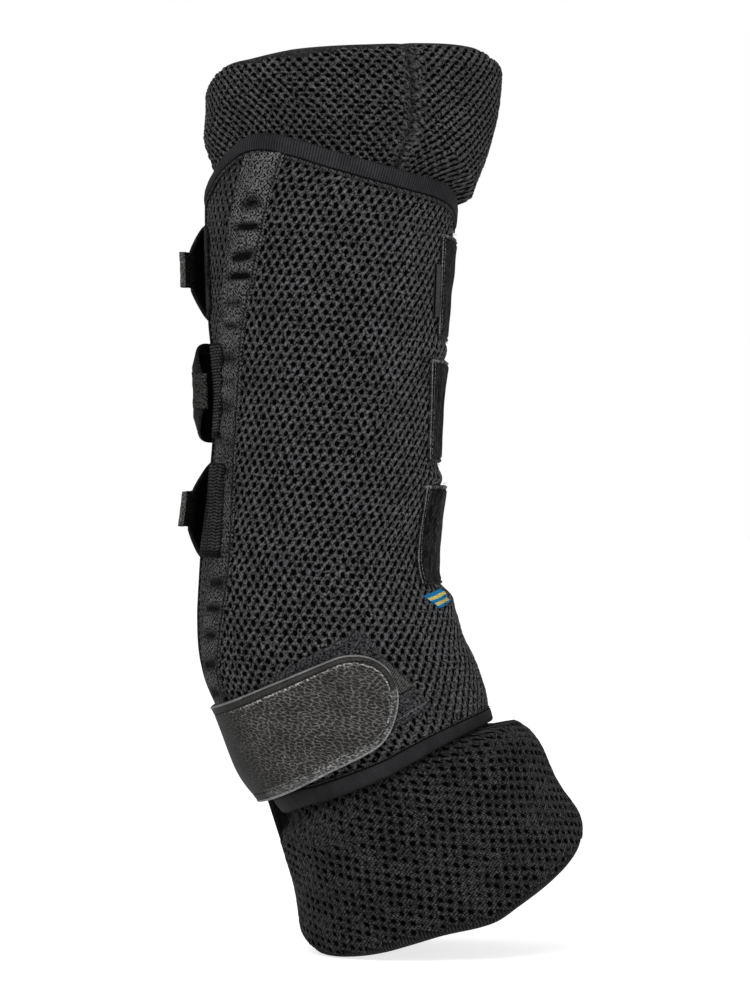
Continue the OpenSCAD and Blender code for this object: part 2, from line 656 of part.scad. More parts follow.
// Elastic band of the fetlock strap and its anchor on the front of the outer side
fetlock_anchor_angle = 212;
module fetlock_band() {
    spot = function(u, w, side)
        let(
            angle0 = mix(fetlock_anchor_angle + 2, 360 - fetlock_fold, u),
            back = fold_over(angle0),
            low = -pastern_drop + mix(10, 24, ease((back - 70) / 80)),
            level = low + 2 + w * (fetlock_strap_w - 2),
            angle = u == 1 ? fixed_to(level) : angle0
        )
        [angle, level, band_base + side * elastic_t];
    color([0.1, 0.1, 0.1]) sheet(steps(9), steps(4), spot);
}
module fetlock_anchor() {
    spot = function(u, w, side)
        let(
            angle = mix(fetlock_anchor_angle, fetlock_anchor_angle + 24, u),
            low = -pastern_drop + mix(10, 24, ease((fold_over(angle) - 70) / 80)),
            level = low + 1 + w * fetlock_strap_w
        )
        [angle, level, anchor_base + side * leather_t];
    color([0.16, 0.16, 0.17]) sheet(steps(4), steps(4), spot);
}

shell_back_panel();
shell_medial_panel();
shell_front_panel();
seam_ribbon();
top_binding();
hem_binding();
closing_binding();
liner_mesh();
liner_wadding();
liner_lining();
strap_anchor_1();
strap_anchor_2();
strap_anchor_3();
anchor_keeper();
side_tag();
elastic_band_1();
elastic_band_2();
elastic_band_3();
loop_patch_1();
loop_patch_2();
loop_patch_3();
fetlock_anchor();
fetlock_band();
fetlock_loop_patch();
fetlock_patch_end();
flap_panel();
flap_top_binding();
flap_hem_binding();
flap_edge_binding();
flap_mesh();
flap_wadding();
flap_lining();
strap_1();
strap_2();
strap_3();
hook_patch_1();
hook_patch_2();
hook_patch_3();
pull_tab_1();
pull_tab_2();
pull_tab_3();
fetlock_strap();
fetlock_hook_patch();
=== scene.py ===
"""A horse's lower leg boot of padded spacer mesh: the visible pieces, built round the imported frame.

Every surface is laid out on the leg form: angle round the leg (0 at the back, 90 on the inner
side, 180 in front, 270 on the outer side), level on the leg's axis, and distance out from the
shell's face. Lengths are in millimetres until a mesh is written, where they become metres.
Knit and weave are set out in arc lengths: s round the leg from the middle of the inner side,
and t up the leg from level 0.
"""

import math

import bmesh
import bpy
import numpy as np
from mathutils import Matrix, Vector


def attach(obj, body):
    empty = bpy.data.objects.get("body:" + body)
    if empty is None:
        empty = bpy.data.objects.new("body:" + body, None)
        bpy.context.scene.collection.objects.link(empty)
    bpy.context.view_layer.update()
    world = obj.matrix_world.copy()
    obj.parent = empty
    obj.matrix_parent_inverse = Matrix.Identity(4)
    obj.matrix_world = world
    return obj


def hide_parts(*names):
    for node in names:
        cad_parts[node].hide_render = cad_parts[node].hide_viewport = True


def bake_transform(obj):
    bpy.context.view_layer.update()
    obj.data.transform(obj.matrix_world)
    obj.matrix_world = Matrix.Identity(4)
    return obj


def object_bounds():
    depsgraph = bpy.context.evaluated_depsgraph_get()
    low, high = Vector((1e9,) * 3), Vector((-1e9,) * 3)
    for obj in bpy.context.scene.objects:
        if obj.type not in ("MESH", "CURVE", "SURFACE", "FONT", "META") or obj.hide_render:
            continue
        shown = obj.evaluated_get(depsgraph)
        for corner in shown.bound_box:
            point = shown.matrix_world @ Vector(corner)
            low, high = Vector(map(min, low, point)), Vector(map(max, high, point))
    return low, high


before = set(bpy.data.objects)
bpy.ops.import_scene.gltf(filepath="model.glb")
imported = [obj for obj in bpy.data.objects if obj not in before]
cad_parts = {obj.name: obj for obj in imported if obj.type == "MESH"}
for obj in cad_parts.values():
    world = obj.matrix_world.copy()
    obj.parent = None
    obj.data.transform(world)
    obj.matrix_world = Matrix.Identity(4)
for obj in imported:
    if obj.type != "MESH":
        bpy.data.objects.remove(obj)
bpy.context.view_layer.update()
MM = 0.001

# ---- the leg form, from the same driving sizes as the frame ----
SHELL_RISE, CUFF_H, PASTERN_DROP, SKIRT_H = 98.0, 66.0, 183.0, 67.0
CANNON_W, CANNON_D, TOP_W, CUFF_W, CUFF_D = 112.0, 108.0, 125.0, 138.0, 111.0
FETLOCK_W, FETLOCK_D, PASTERN_W, SKIRT_W, TILT = 132.0, 114.0, 114.0, 143.0, 24.0
HEM = -PASTERN_DROP
RIM_Z, CUFF_Z = HEM - SKIRT_H, SHELL_RISE + CUFF_H
WAIST_X, PASTERN_X, RIM_X, CUFF_X = -1.0, 27.5, 60.0, 10.5

# level, forward shift, slant in degrees, half width, half depth
SECTIONS = np.array([
    (z, x, slant * TILT, w / 2, d / 2)
    for z, x, slant, w, d in (
        (RIM_Z - 15, RIM_X + 4, 1, SKIRT_W, FETLOCK_D - 1),
        (RIM_Z + 12, RIM_X - 6, 1, SKIRT_W - 2, FETLOCK_D - 1),
        (HEM - SKIRT_H / 2, PASTERN_X + 18, 1, (SKIRT_W + PASTERN_W) / 2 + 1, FETLOCK_D - 1),
        (HEM - 13, PASTERN_X + 9.5, 1, PASTERN_W + 10, FETLOCK_D - 2),
        (HEM, PASTERN_X + 1.5, 0.95, PASTERN_W, FETLOCK_D - 3),
        (HEM * 0.89, PASTERN_X - 9.7, 0.73, (PASTERN_W + FETLOCK_W) / 2 + 1.5, FETLOCK_D - 1),
        (HEM * 0.77, PASTERN_X - 19.3, 0.48, FETLOCK_W - 2, FETLOCK_D),
        (HEM * 0.7, WAIST_X + 3.5, 0.33, FETLOCK_W - 1, FETLOCK_D),
        (HEM * 0.61, WAIST_X, 0.19, FETLOCK_W - 3, FETLOCK_D),
        (HEM * 0.44, WAIST_X - 5, 0, (FETLOCK_W + CANNON_W) / 2 - 6, (FETLOCK_D + CANNON_D) / 2),
        (HEM * 0.25, WAIST_X - 2.5, 0, CANNON_W + 1, CANNON_D),
        (0, WAIST_X, 0, CANNON_W, CANNON_D),
        (SHELL_RISE / 2, WAIST_X, 0, (CANNON_W + TOP_W) / 2 + 0.5, (CANNON_D + CUFF_D) / 2),
        (SHELL_RISE, WAIST_X + 2, 0, TOP_W, CUFF_D),
        (SHELL_RISE + CUFF_H * 0.4, WAIST_X + 7.5, 0, (TOP_W + CUFF_W) / 2 + 0.5, CUFF_D),
        (SHELL_RISE + CUFF_H * 0.8, CUFF_X - 0.5, 0, CUFF_W - 2, CUFF_D),
        (CUFF_Z + 25, CUFF_X, 0, CUFF_W, CUFF_D),
    )
])


def smooth(table, x, column=1):
    """Smooth curve through the rows of a table: the value of a column where column 0 is x."""
    table = np.asarray(table, float)
    xs, ys = table[:, 0], table[:, column]
    slope = np.empty(len(xs))
    slope[1:-1] = (ys[2:] - ys[:-2]) / (xs[2:] - xs[:-2])
    slope[[0, -1]] = (ys[[1, -1]] - ys[[0, -2]]) / (xs[[1, -1]] - xs[[0, -2]])
    i = np.clip(np.searchsorted(xs, x, side="right") - 1, 0, len(xs) - 2)
    h = xs[i + 1] - xs[i]
    s = np.clip((x - xs[i]) / h, 0, 1)
    return (
        (1 + 2 * s) * (1 - s) ** 2 * ys[i] + s * (1 - s) ** 2 * h * slope[i]
        + s ** 2 * (3 - 2 * s) * ys[i + 1] + s ** 2 * (s - 1) * h * slope[i + 1]
    )


def leg_point(angle, level, out):
    """Points of the form, in millimetres, from arrays of angle, level and distance out."""
    angle, level, out = np.broadcast_arrays(angle, level, out)
    turn = np.radians(angle)
    slant = np.radians(smooth(SECTIONS, level, 2))
    reach = -(smooth(SECTIONS, level, 3) + out) * np.cos(turn)
    side = -(smooth(SECTIONS, level, 4) + out) * np.sin(turn)
    x = smooth(SECTIONS, level, 1) + reach * np.cos(slant)
    return np.stack([x, side, level + reach * np.sin(slant)], -1)


def per_degree(level):
    """Millimetres round the form for one degree, at a level."""
    return (smooth(SECTIONS, level, 3) + smooth(SECTIONS, level, 4)) / 2 * math.pi / 180


def mix(a, b, s):
    return a + (b - a) * s


def ease(s):
    s = np.clip(s, 0, 1)
    return s * s * (3 - 2 * s)


def bell(x, at, run):
    """A smooth bump, 1 at a place and fading over a run to both sides."""
    return np.exp(-((x - at) / run) ** 2)


def rounded(edge, radius):
    """Rises from 0 at an edge to 1 at a radius from it, as a quarter circle."""
    return np.sqrt(np.maximum(1 - (1 - np.clip(edge / radius, 0, 1)) ** 2, 0))


def from_ends(share, length):
    """Distance from the nearer end of a length, at a share of it."""
    return np.minimum(share, 1 - share) * length


def unit(count):
    return np.linspace(0, 1, count)


def stations(*parts):
    """One line of stations from parts that follow on, each (first, last, count)."""
    lines = [np.linspace(*part) for part in parts]
    return np.concatenate([line[:-1] for line in lines[:-1]] + lines[-1:])


def tip_steps(start, tip, count, fine):
    """Angles that crowd towards a strap's tip."""
    return start + (tip - start) * (1 - (1 - unit(count)) ** fine)


def fold_over(angle):
    """Angle from the back, the same on both sides of the leg."""
    return np.where(angle > 180, 360 - angle, np.abs(angle))


def line_round(height, table):
    """A line round the leg: its level at an angle, from rises at angles from the back."""
    def level(angle):
        return height + smooth(table, fold_over(angle))
    return level


top_edge = line_round(SHELL_RISE, [
    (0, 6.5), (15, 12.5), (30, 23), (45, 30.5), (58, 31), (90, 21), (120, 13), (150, 7.5),
    (168, 2), (180, -5),
])
cuff_rim = line_round(CUFF_Z, [
    (0, -6.5), (14, -3.2), (28, 1.4), (45, 3.2), (67, 6.5), (100, 8.5), (130, 10), (150, 9.5),
    (165, 7), (180, 5.6),
])
skirt_rim = line_round(RIM_Z, [
    (0, 10.5), (12, 7.5), (22, 2), (35, -1.5), (55, -6), (83, -9.5), (105, -14), (118, -12),
    (141, -7.5), (160, -2.5), (180, 5),
])
# How much higher the hem runs than its lowest level
HEM_RISE = [
    (-20, 0), (5, -0.3), (20, -0.4), (40, -0.1), (60, -1.0), (90, -1.1), (105, 0.3), (120, 1.5),
    (140, 2.1), (160, 1.9), (180, 1.6), (205, 0.6), (235, -0.3), (260, 0), (380, 0),
]
# level, angle of the back seam's ribbon
RIBBON_LINE = [
    (-195, 9), (-140, 16), (-110, 27), (-80, 33), (-25, 28), (20, 32), (60, 43.5), (110, 54),
    (135, 58),
]
SLIT_ANGLE, SLIT_W, FRONT_SEAM = -9.0, 2.4, 172.0
INNER, OUTER = (SLIT_ANGLE, FRONT_SEAM), (FRONT_SEAM, 360 + SLIT_ANGLE)
FOLD_TILT = math.radians(4.5)


def hem_level(angle):
    return HEM + smooth(HEM_RISE, angle)


def seam_angle(level):
    return smooth(RIBBON_LINE, level)


def slit_slack(level):
    return SLIT_W / 2 / per_degree(level)


def off_slit(angle, level):
    """Distance from the slit's middle in millimetres."""
    off = np.minimum(np.abs(angle - SLIT_ANGLE), np.abs(angle - 360 - SLIT_ANGLE))
    return off * per_degree(level)


def fold_angle(level):
    """Angle of the fold line from the back, where the flap hinges on the fixed side."""
    slant, lean = np.radians(smooth(SECTIONS, level, 2)), math.tan(FOLD_TILT)
    cosine = (smooth(SECTIONS, level, 1) + lean * level) / smooth(SECTIONS, level, 3)
    return np.degrees(np.arccos(cosine / (np.cos(slant) + lean * np.sin(slant))))


# ---- layers, as distances from the shell's face ----
PUFF, FRONT_PUFF = 4.0, 2.5
MESH_OUT, LINING_IN = -4.5, -10.3
LINER_INNER = LINING_IN + 0.4 * PUFF


def puffed(angle, level):
    """0 under the shell, 1 on the cuff and the skirt, which swell out faster in front."""
    front = ease((fold_over(angle) - 110) / 50)
    cuff_run, skirt_run = mix(27, 7, front), mix(9, 4.5, front)
    cuff = ease((level - top_edge(angle) - 0.8) / cuff_run)
    return np.maximum(cuff, ease((hem_level(angle) - 0.8 - level) / skirt_run))


def puff_at(angle):
    return PUFF + FRONT_PUFF * (1 - np.cos(np.radians(angle))) / 2


def hashed(i, j, seed):
    """Even pseudo-random values from -1 to 1 on a grid of whole numbers."""
    i, j = np.asarray(i).astype(np.int64), np.asarray(j).astype(np.int64)
    n = (i * 374761393 + j * 668265263 + seed * 974634777) & 0xFFFFFFFF
    n = ((n ^ (n >> 13)) * 1274126177) & 0xFFFFFFFF
    return ((n ^ (n >> 16)) & 0xFFFF) / 32767.5 - 1


def noise(x, y, seed=0):
    """Smooth noise from -1 to 1 with one bump to a unit."""
    x, y = np.broadcast_arrays(np.asarray(x, float), np.asarray(y, float))
    i, j = np.floor(x), np.floor(y)
    u, v = ease(x - i), ease(y - j)
    low = mix(hashed(i, j, seed), hashed(i + 1, j, seed), u)
    high = mix(hashed(i, j + 1, seed), hashed(i + 1, j + 1, seed), u)
    return mix(low, high, v)


# ---- arc lengths on the form ----
CHART_TURN, CHART_RISE = 2.5, 4.0
CHART_ANGLES = np.arange(-120, 362.6, CHART_TURN)
CHART_LEVELS = np.arange(-340, 222, CHART_RISE)


def chart():
    """Arc lengths s and t over a grid of angles and levels."""
    points = leg_point(CHART_ANGLES[:, None], CHART_LEVELS[None, :], 0)
    round_it = np.linalg.norm(np.diff(points, axis=0), axis=2)
    up_it = np.linalg.norm(np.diff(points, axis=1), axis=2)
    s = np.vstack([np.zeros(len(CHART_LEVELS)), np.cumsum(round_it, axis=0)])
    t = np.hstack([np.zeros((len(CHART_ANGLES), 1)), np.cumsum(up_it, axis=1)])
    side, zero = (int(np.argmin(abs(x))) for x in (CHART_ANGLES - 90, CHART_LEVELS))
    return s - s[side], t - t[:, zero:zero + 1]


S_CHART, T_CHART = chart()


def read_chart(values, angle, level):
    """Value, rise for one degree and rise for one millimetre of level, read off a chart."""
    a = np.clip((angle - CHART_ANGLES[0]) / CHART_TURN, 0, len(CHART_ANGLES) - 1.001)
    b = np.clip((level - CHART_LEVELS[0]) / CHART_RISE, 0, len(CHART_LEVELS) - 1.001)
    i, j = a.astype(int), b.astype(int)
    u, v = a - i, b - j
    c00, c10 = values[i, j], values[i + 1, j]
    c01, c11 = values[i, j + 1], values[i + 1, j + 1]
    value = mix(mix(c00, c10, u), mix(c01, c11, u), v)
    return value, mix(c10 - c00, c11 - c01, v) / CHART_TURN, mix(c01 - c00, c11 - c10, u) / CHART_RISE


def to_arc(angle, level):
    angle, level = np.broadcast_arrays(np.asarray(angle, float), np.asarray(level, float))
    return read_chart(S_CHART, angle, level)[0], read_chart(T_CHART, angle, level)[0]


def rim_arc(angle, level):
    """Arc lengths that stop short of the rims."""
    return to_arc(angle, np.clip(level, -300, 190))


def from_arc(s, t):
    """Angle and level of points given by their arc lengths."""
    angle, level = 90 + s / 1.02, t * 1.0
    for _ in range(12):
        s_now, s_turn, _ = read_chart(S_CHART, angle, level)
        t_now, _, t_rise = read_chart(T_CHART, angle, level)
        angle = np.clip(angle + (s - s_now) / s_turn, -118, 360)
        level = np.clip(level + (t - t_now) / t_rise, -336, 214)
    return angle, level


# ---- meshes ----
def write_mesh(name, points, faces, materials, index=None, cloth=None, relief=None, turn_out=True):
    """An object from points in millimetres and a list of face arrays. index names each face
    array's material, cloth gives each point its place on the cloth, and relief the painted light and
    shade and the tone of the cloth there, and how grained it is."""
    mesh = bpy.data.meshes.new(name)
    sizes = np.concatenate([np.full(len(f), f.shape[1]) for f in faces])
    corners = np.concatenate([f.ravel() for f in faces]).astype(np.int32)
    mesh.vertices.add(len(points))
    mesh.vertices.foreach_set("co", (np.asarray(points) * MM).astype(np.float32).ravel())
    mesh.loops.add(len(corners))
    mesh.loops.foreach_set("vertex_index", corners)
    mesh.polygons.add(len(sizes))
    starts = np.concatenate([[0], np.cumsum(sizes)[:-1]]).astype(np.int32)
    mesh.polygons.foreach_set("loop_start", starts)
    mesh.polygons.foreach_set("loop_total", sizes.astype(np.int32))
    for material in materials:
        mesh.materials.append(material)
    if index is not None:
        kind = np.concatenate([np.broadcast_to(k, len(f)) for f, k in zip(faces, index)])
        mesh.polygons.foreach_set("material_index", kind.astype(np.int32))
    mesh.polygons.foreach_set("use_smooth", np.ones(len(sizes), bool))
    mesh.update(calc_edges=True)
    for layer_name, values, scale in (("cloth", cloth, 0.1), ("relief", relief, 1)):
        if values is not None:
            layer = mesh.uv_layers.new(name=layer_name)
            placed = np.asarray(values)[corners] * scale
            layer.data.foreach_set("uv", placed.astype(np.float32).ravel())
    mesh.validate()
    if turn_out:
        made = bmesh.new()
        made.from_mesh(mesh)
        bmesh.ops.recalc_face_normals(made, faces=made.faces)
        made.to_mesh(mesh)
        made.free()
    obj = bpy.data.objects.new(name, mesh)
    bpy.context.scene.collection.objects.link(obj)
    return obj


def strip_faces(first, second):
    """Quads between two lines of point numbers."""
    return np.stack([first[:-1], first[1:], second[1:], second[:-1]], -1)


def sheet_faces(n, m):
    """Outside, inside and rim of a closed sheet whose two sides are n by m grids of points."""
    number = np.arange(n * m).reshape(n, m)
    a = number[:-1, :-1].ravel()
    side = np.stack([a, a + m, a + m + 1, a + 1], -1)
    ring = np.concatenate([number[:, 0], number[-1, 1:], number[-2::-1, -1], number[0, -2::-1]])
    return [side, n * m + side[:, ::-1], strip_faces(ring, ring + n * m)]


def tube_faces(n, m):
    """Sides and two ends of a run of n closed sections of m points."""
    number = np.arange(n * m).reshape(n, m)
    closed = np.hstack([number, number[:, :1]])
    sides = np.concatenate([strip_faces(closed[k], closed[k + 1]) for k in range(n - 1)])
    return [sides, number[0][None, ::-1], number[-1][None]]


def sheet_mesh(name, us, ws, spot, materials, face_kind=None, back_kind=0):
    """A closed thin piece: spot(u, w) gives angle, level, outer distance and inner distance, and
    may give the painted light and shade and the tone of the cloth there, and how strong its grain."""
    u, w = np.meshgrid(us, ws, indexing="ij")
    found = [np.broadcast_to(x, u.shape).ravel() for x in spot(u, w)]
    angle, level, outer, inner = found[:4]
    relief = found[4:] + [np.ones(u.size)] * (6 - len(found))
    return write_mesh(
        name, np.vstack([leg_point(angle, level, out) for out in (outer, inner)]),
        sheet_faces(*u.shape), materials, [face_kind(u, w) if face_kind else 0, back_kind, back_kind],
        np.tile(np.stack(to_arc(angle, level), -1), (2, 1)),
        np.vstack([np.stack(relief, -1), np.ones((u.size, 2))]),
    )


def crosses_fold(obj):
    """Bakes the piece's placement into its mesh and leaves it on no body."""
    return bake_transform(obj)


def dress(obj, body, slot, *nodes, fold=False):
    """Rides a piece on its body, or bakes in the placement of a piece that crosses the flap's fold, and hides
    its CAD nodes; slot is not used.
    """
    if fold:
        crosses_fold(obj)
    else:
        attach(obj, body)
    if nodes:
        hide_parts(*nodes)


# ---- materials ----
def make_material(name, colour, rough, specular=0.5, sheen=0.0, coat=0.0):
    material = bpy.data.materials.new(name)
    material.use_nodes = True
    shader = material.node_tree.nodes["Principled BSDF"]
    shader.inputs["Base Color"].default_value = (*colour, 1)
    shader.inputs["Roughness"].default_value = rough
    shader.inputs["Specular IOR Level"].default_value = specular
    shader.inputs["Sheen Weight"].default_value = sheen
    shader.inputs["Sheen Roughness"].default_value = 0.5
    shader.inputs["Coat Weight"].default_value = coat
    shader.inputs["Coat Roughness"].default_value = 0.35
    return material, shader


def add_node(material, kind, settings=None, **inputs):
    """A node with its settings and inputs: an input is a value, or a socket to link from. i0 and
    so on are inputs by their number."""
    made = material.node_tree.nodes.new(kind)
    for key, value in (settings or {}).items():
        setattr(made, key, value)
    for key, value in inputs.items():
        socket = made.inputs[int(key[1:]) if key[0] == "i" and key[1:].isdigit() else key]
        if isinstance(value, bpy.types.NodeSocket):
            material.node_tree.links.new(value, socket)
        else:
            socket.default_value = value
    return made


def cloth_place(material, stretch=(1, 1), turn=0.0):
    """Coordinates on the cloth in millimetres, turned and then stretched."""
    place = add_node(material, "ShaderNodeUVMap", {"uv_map": "cloth"}).outputs[0]
    turned = add_node(material, "ShaderNodeMapping", Vector=place, Rotation=(0, 0, math.radians(turn)))
    size = (10 * stretch[0], 10 * stretch[1], 1)
    return add_node(material, "ShaderNodeMapping", Vector=turned.outputs[0], Scale=size).outputs[0]


def relief_of(material, part):
    """X, the painted light and shade and the tone that the mesh gives the cloth at a place, or Y, how strong
    its grain is, as the mesh says.
    """
    place = add_node(material, "ShaderNodeUVMap", {"uv_map": "relief"})
    return add_node(material, "ShaderNodeSeparateXYZ", Vector=place.outputs[0]).outputs[part]


def fine_noise(material, place, scale, detail=2.0, roughness=0.6, output="Fac"):
    return add_node(
        material, "ShaderNodeTexNoise", {"noise_dimensions": "2D"},
        Vector=place, Scale=scale, Detail=detail, Roughness=roughness,
    ).outputs[output]


def waves(material, place, period, direction, distortion):
    """A sine from 0 to 1 across the cloth, one wave to a period in millimetres."""
    return add_node(
        material, "ShaderNodeTexWave",
        {"wave_type": "BANDS", "bands_direction": direction, "wave_profile": "SIN"},
        Vector=place, Scale=math.pi * 0.1 / period, Distortion=distortion, **{"Detail Scale": 1.5},
    ).outputs["Fac"]


def math_node(material, operation, a, b=0.0, c=0.0):
    return add_node(material, "ShaderNodeMath", {"operation": operation}, i0=a, i1=b, i2=c).outputs[0]


def product(material, a, b):
    return math_node(material, "MULTIPLY", a, b)


def shared(material, a, b, share):
    """A share of a and the rest of b."""
    return math_node(material, "MULTIPLY_ADD", a, share, product(material, b, 1 - share))


def spread(material, value, low, high, from_low, from_high):
    """Brings a value from one range to another."""
    ends = {"From Min": from_low, "From Max": from_high, "To Min": low, "To Max": high}
    return add_node(material, "ShaderNodeMapRange", Value=value, **ends).outputs[0]


def finish_cloth(look, colour, factor, patches, uneven, height, depth, raised=False, strength=0.8):
    """Shades the cloth by a factor and by wide patches, with their scale and how uneven they are;
    a raised cloth also takes the painted light and shade and the tone its mesh gives. Its grain stands up by
    depth millimetres."""
    material, shader = look
    wide = fine_noise(material, cloth_place(material), patches)
    factor = product(material, factor, spread(material, wide, *uneven, 0.3, 0.7))
    if raised:
        factor = product(material, factor, relief_of(material, "X"))
    links = material.node_tree.links
    scaled = add_node(material, "ShaderNodeVectorMath", {"operation": "SCALE"}, i0=colour, Scale=factor)
    links.new(scaled.outputs[0], shader.inputs["Base Color"])
    bump = add_node(material, "ShaderNodeBump", Strength=strength, Distance=depth * MM, Height=height)
    links.new(bump.outputs[0], shader.inputs["Normal"])
    return material


def knit_material(name, colour, contrast=1.0, lie=45, crossing=0.0, raised=False):
    """Knit yarn with bright and dark fibres along its lie, cross threads where crossing is more
    than 0, and, when raised, painted shade from its mesh that darkens the yarn where it lies deep."""
    look = make_material(name, colour, 0.9, 0.08, sheen=0.04)
    material = look[0]
    fibre = fine_noise(material, cloth_place(material, (1.15, 0.55), lie), 0.85, 1.0, 0.5)
    speck = fine_noise(material, cloth_place(material), 0.95, 1.0)
    height = shared(material, fibre, speck, 0.5)
    factor = spread(material, height, 1 - contrast, 1 + 1.25 * contrast, 0.37, 0.65)
    if crossing:
        turned = cloth_place(material, turn=45)
        warp, weft = (waves(material, turned, 1.25, way, 2.6) for way in "XY")
        threads = math_node(material, "MAXIMUM", warp, weft)
        crossed = spread(material, threads, 1 - crossing, 1 + crossing, 0.5, 1.0)
        factor = product(material, factor, crossed)
    return finish_cloth(look, colour, factor, 0.06, (0.85, 1.15), height, 0.35, raised, 0.9)


def weave_material(name, colour, period, turn, contrast=0.5, rough=0.8, depth=0.15, raised=False, even=0.65):
    """Woven cloth: two sets of threads that cross at the given turn, and even is their share in
    its look beside that of loose fibres."""
    look = make_material(name, colour, rough, 0.06)
    material = look[0]
    place = cloth_place(material, turn=turn)
    warp, weft = (waves(material, place, period, way, 0.8) for way in "XY")
    threads = product(material, math_node(material, "ADD", warp, weft), 0.5)
    fibre = spread(material, fine_noise(material, cloth_place(material), 0.9, 1.0), 0.0, 1.0, 0.33, 0.67)
    height = shared(material, threads, fibre, even)
    factor = spread(material, height, 1 - contrast, 1 + contrast, 0.28, 0.72)
    return finish_cloth(look, colour, factor, 0.08, (0.8, 1.2), height, depth, raised)


def rib_material(name, colour, period, direction="X", contrast=0.8, depth=0.2):
    """Ribbed tape or elastic: fine cords side by side."""
    look = make_material(name, colour, 0.8, 0.08)
    material = look[0]
    place = cloth_place(material)
    ribs = waves(material, place, period, direction, 0.6)
    height = shared(material, ribs, fine_noise(material, place, 0.9), 0.55)
    factor = spread(material, height, 1 - contrast, 1 + contrast, 0.25, 0.75)
    return finish_cloth(look, colour, factor, 0.07, (0.75, 1.25), height, depth)


def leather_material(name, colour, cell, depth, tones, rough, specular, raised=False, line=0.17):
    """Leatherette: a grain of raised cells with light rims, cell millimetres long and high. tones
    are those of the hollows and the rims, and line is how wide a rim is. A raised piece takes the
    painted light and shade and the tone its mesh gives, and its grain is as strong as its mesh says."""
    look = make_material(name, colour, rough, specular, coat=0.03)
    material = look[0]
    warped = cloth_place(material, (1 / cell[0], 1 / cell[1]), 20)
    drift = fine_noise(material, warped, 1.3, 2.0, 0.5, "Color")
    drifted = add_node(
        material, "ShaderNodeVectorMath", {"operation": "MULTIPLY_ADD"}, i0=drift, i1=(0.7, 0.7, 0), i2=warped
    )
    edges = add_node(
        material, "ShaderNodeTexVoronoi", {"voronoi_dimensions": "2D", "feature": "DISTANCE_TO_EDGE"},
        Vector=drifted.outputs[0], Scale=1.0, Randomness=0.9,
    )
    fine = fine_noise(material, cloth_place(material), 1.0)
    rims = spread(material, edges.outputs["Distance"], 1.0, 0.0, 0.02, line)
    rims = product(material, rims, spread(material, fine, 0.45, 1.25, 0.38, 0.6))
    if raised:
        rims = product(material, rims, relief_of(material, "Y"))
    height = math_node(material, "MULTIPLY_ADD", fine, 0.35, rims)
    factor = spread(material, height, *tones, 0.1, 1.25)
    return finish_cloth(look, colour, factor, 0.09, (0.8, 1.25), height, depth, raised)


def plain_material(name, colour, rough, specular):
    return make_material(name, colour, rough, specular)[0]


KNIT = knit_material("spacer_knit", (0.062, 0.062, 0.065), 1.0, 43, raised=True)
LINER_KNIT = knit_material("liner_knit", (0.054, 0.054, 0.054), 1.0, -45, raised=True)
SKIRT_KNIT = knit_material("skirt_knit", (0.026, 0.026, 0.027), 0.8, 40, 0.75, raised=True)
RIM_KNIT = rib_material("rim_ribs", (0.024, 0.024, 0.026), 1.3, depth=0.3)
RIM_CLOTH = knit_material("rim_cloth", (0.030, 0.030, 0.031), 0.6, 43)
# Near-black painted shade for the knit's hole walls and floors and for the liner's face under the knit.
PAINTED_PIT_SHADE = plain_material("knit_depth_painted_shade", (0.002, 0.002, 0.0022), 0.95, 0.05)
LINING = knit_material("lining_cloth", (0.026, 0.026, 0.028), 0.6)
SATIN = weave_material("satin_ribbon", (0.064, 0.064, 0.064), 1.35, 45, 1.0, raised=True, even=0.35)
TAPE = rib_material("binding_ribs", (0.028, 0.028, 0.031), 1.25, contrast=0.5)
HEM_TAPE = rib_material("hem_ribs", (0.026, 0.026, 0.028), 0.9, contrast=0.3)
TAPE_EDGE = weave_material("binding_edge", (0.040, 0.040, 0.042), 1.2, 20, 0.9)
# Near-black painted shade for grooves and gaps.
GROOVE_PAINTED_SHADE = weave_material("binding_groove_painted_shade", (0.004, 0.004, 0.004), 1.2, 20, 0.9)
CLOSING_TAPE = rib_material("closing_ribs", (0.020, 0.020, 0.022), 1.2, "Y")
LEATHER = leather_material("leatherette", (0.012, 0.012, 0.0125), (1.6, 1.1), 0.15, (0.2, 2.7), 0.7, 0.06)
STRAP_BACKING = knit_material("strap_backing", (0.004, 0.004, 0.004), 0.8)
PEBBLED = leather_material(
    "pebbled_leatherette", (0.0225, 0.0217, 0.0208), (3.1, 1.75), 0.3, (0.65, 8.5), 0.65, 0.07, True, 0.16
)
ELASTIC = rib_material("ribbed_elastic", (0.014, 0.014, 0.015), 1.3, "Y")
LOOPS = weave_material("loop_knit", (0.034, 0.034, 0.034), 1.5, 30, 0.45, 0.9, 0.3, True)
LANDING = knit_material("landing_knit", (0.044, 0.044, 0.047))
HOOKS = plain_material("hook_tape", (0.006, 0.006, 0.0062), 0.8, 0.1)
ANCHOR = leather_material(
    "anchor_leatherette", (0.016, 0.016, 0.0165), (1.6, 6.0), 0.3, (0.2, 2.7), 0.75, 0.05, True
)
TAG_BLUE = weave_material("tag_blue", (0.01, 0.22, 0.50), 1.2, 0, 0.35, 0.7)
TAG_YELLOW = weave_material("tag_yellow", (0.78, 0.62, 0.16), 1.2, 0, 0.35, 0.7)
TAB = weave_material("woven_tab", (0.10, 0.10, 0.098), 1.4, 20, 0.6, even=0.2)
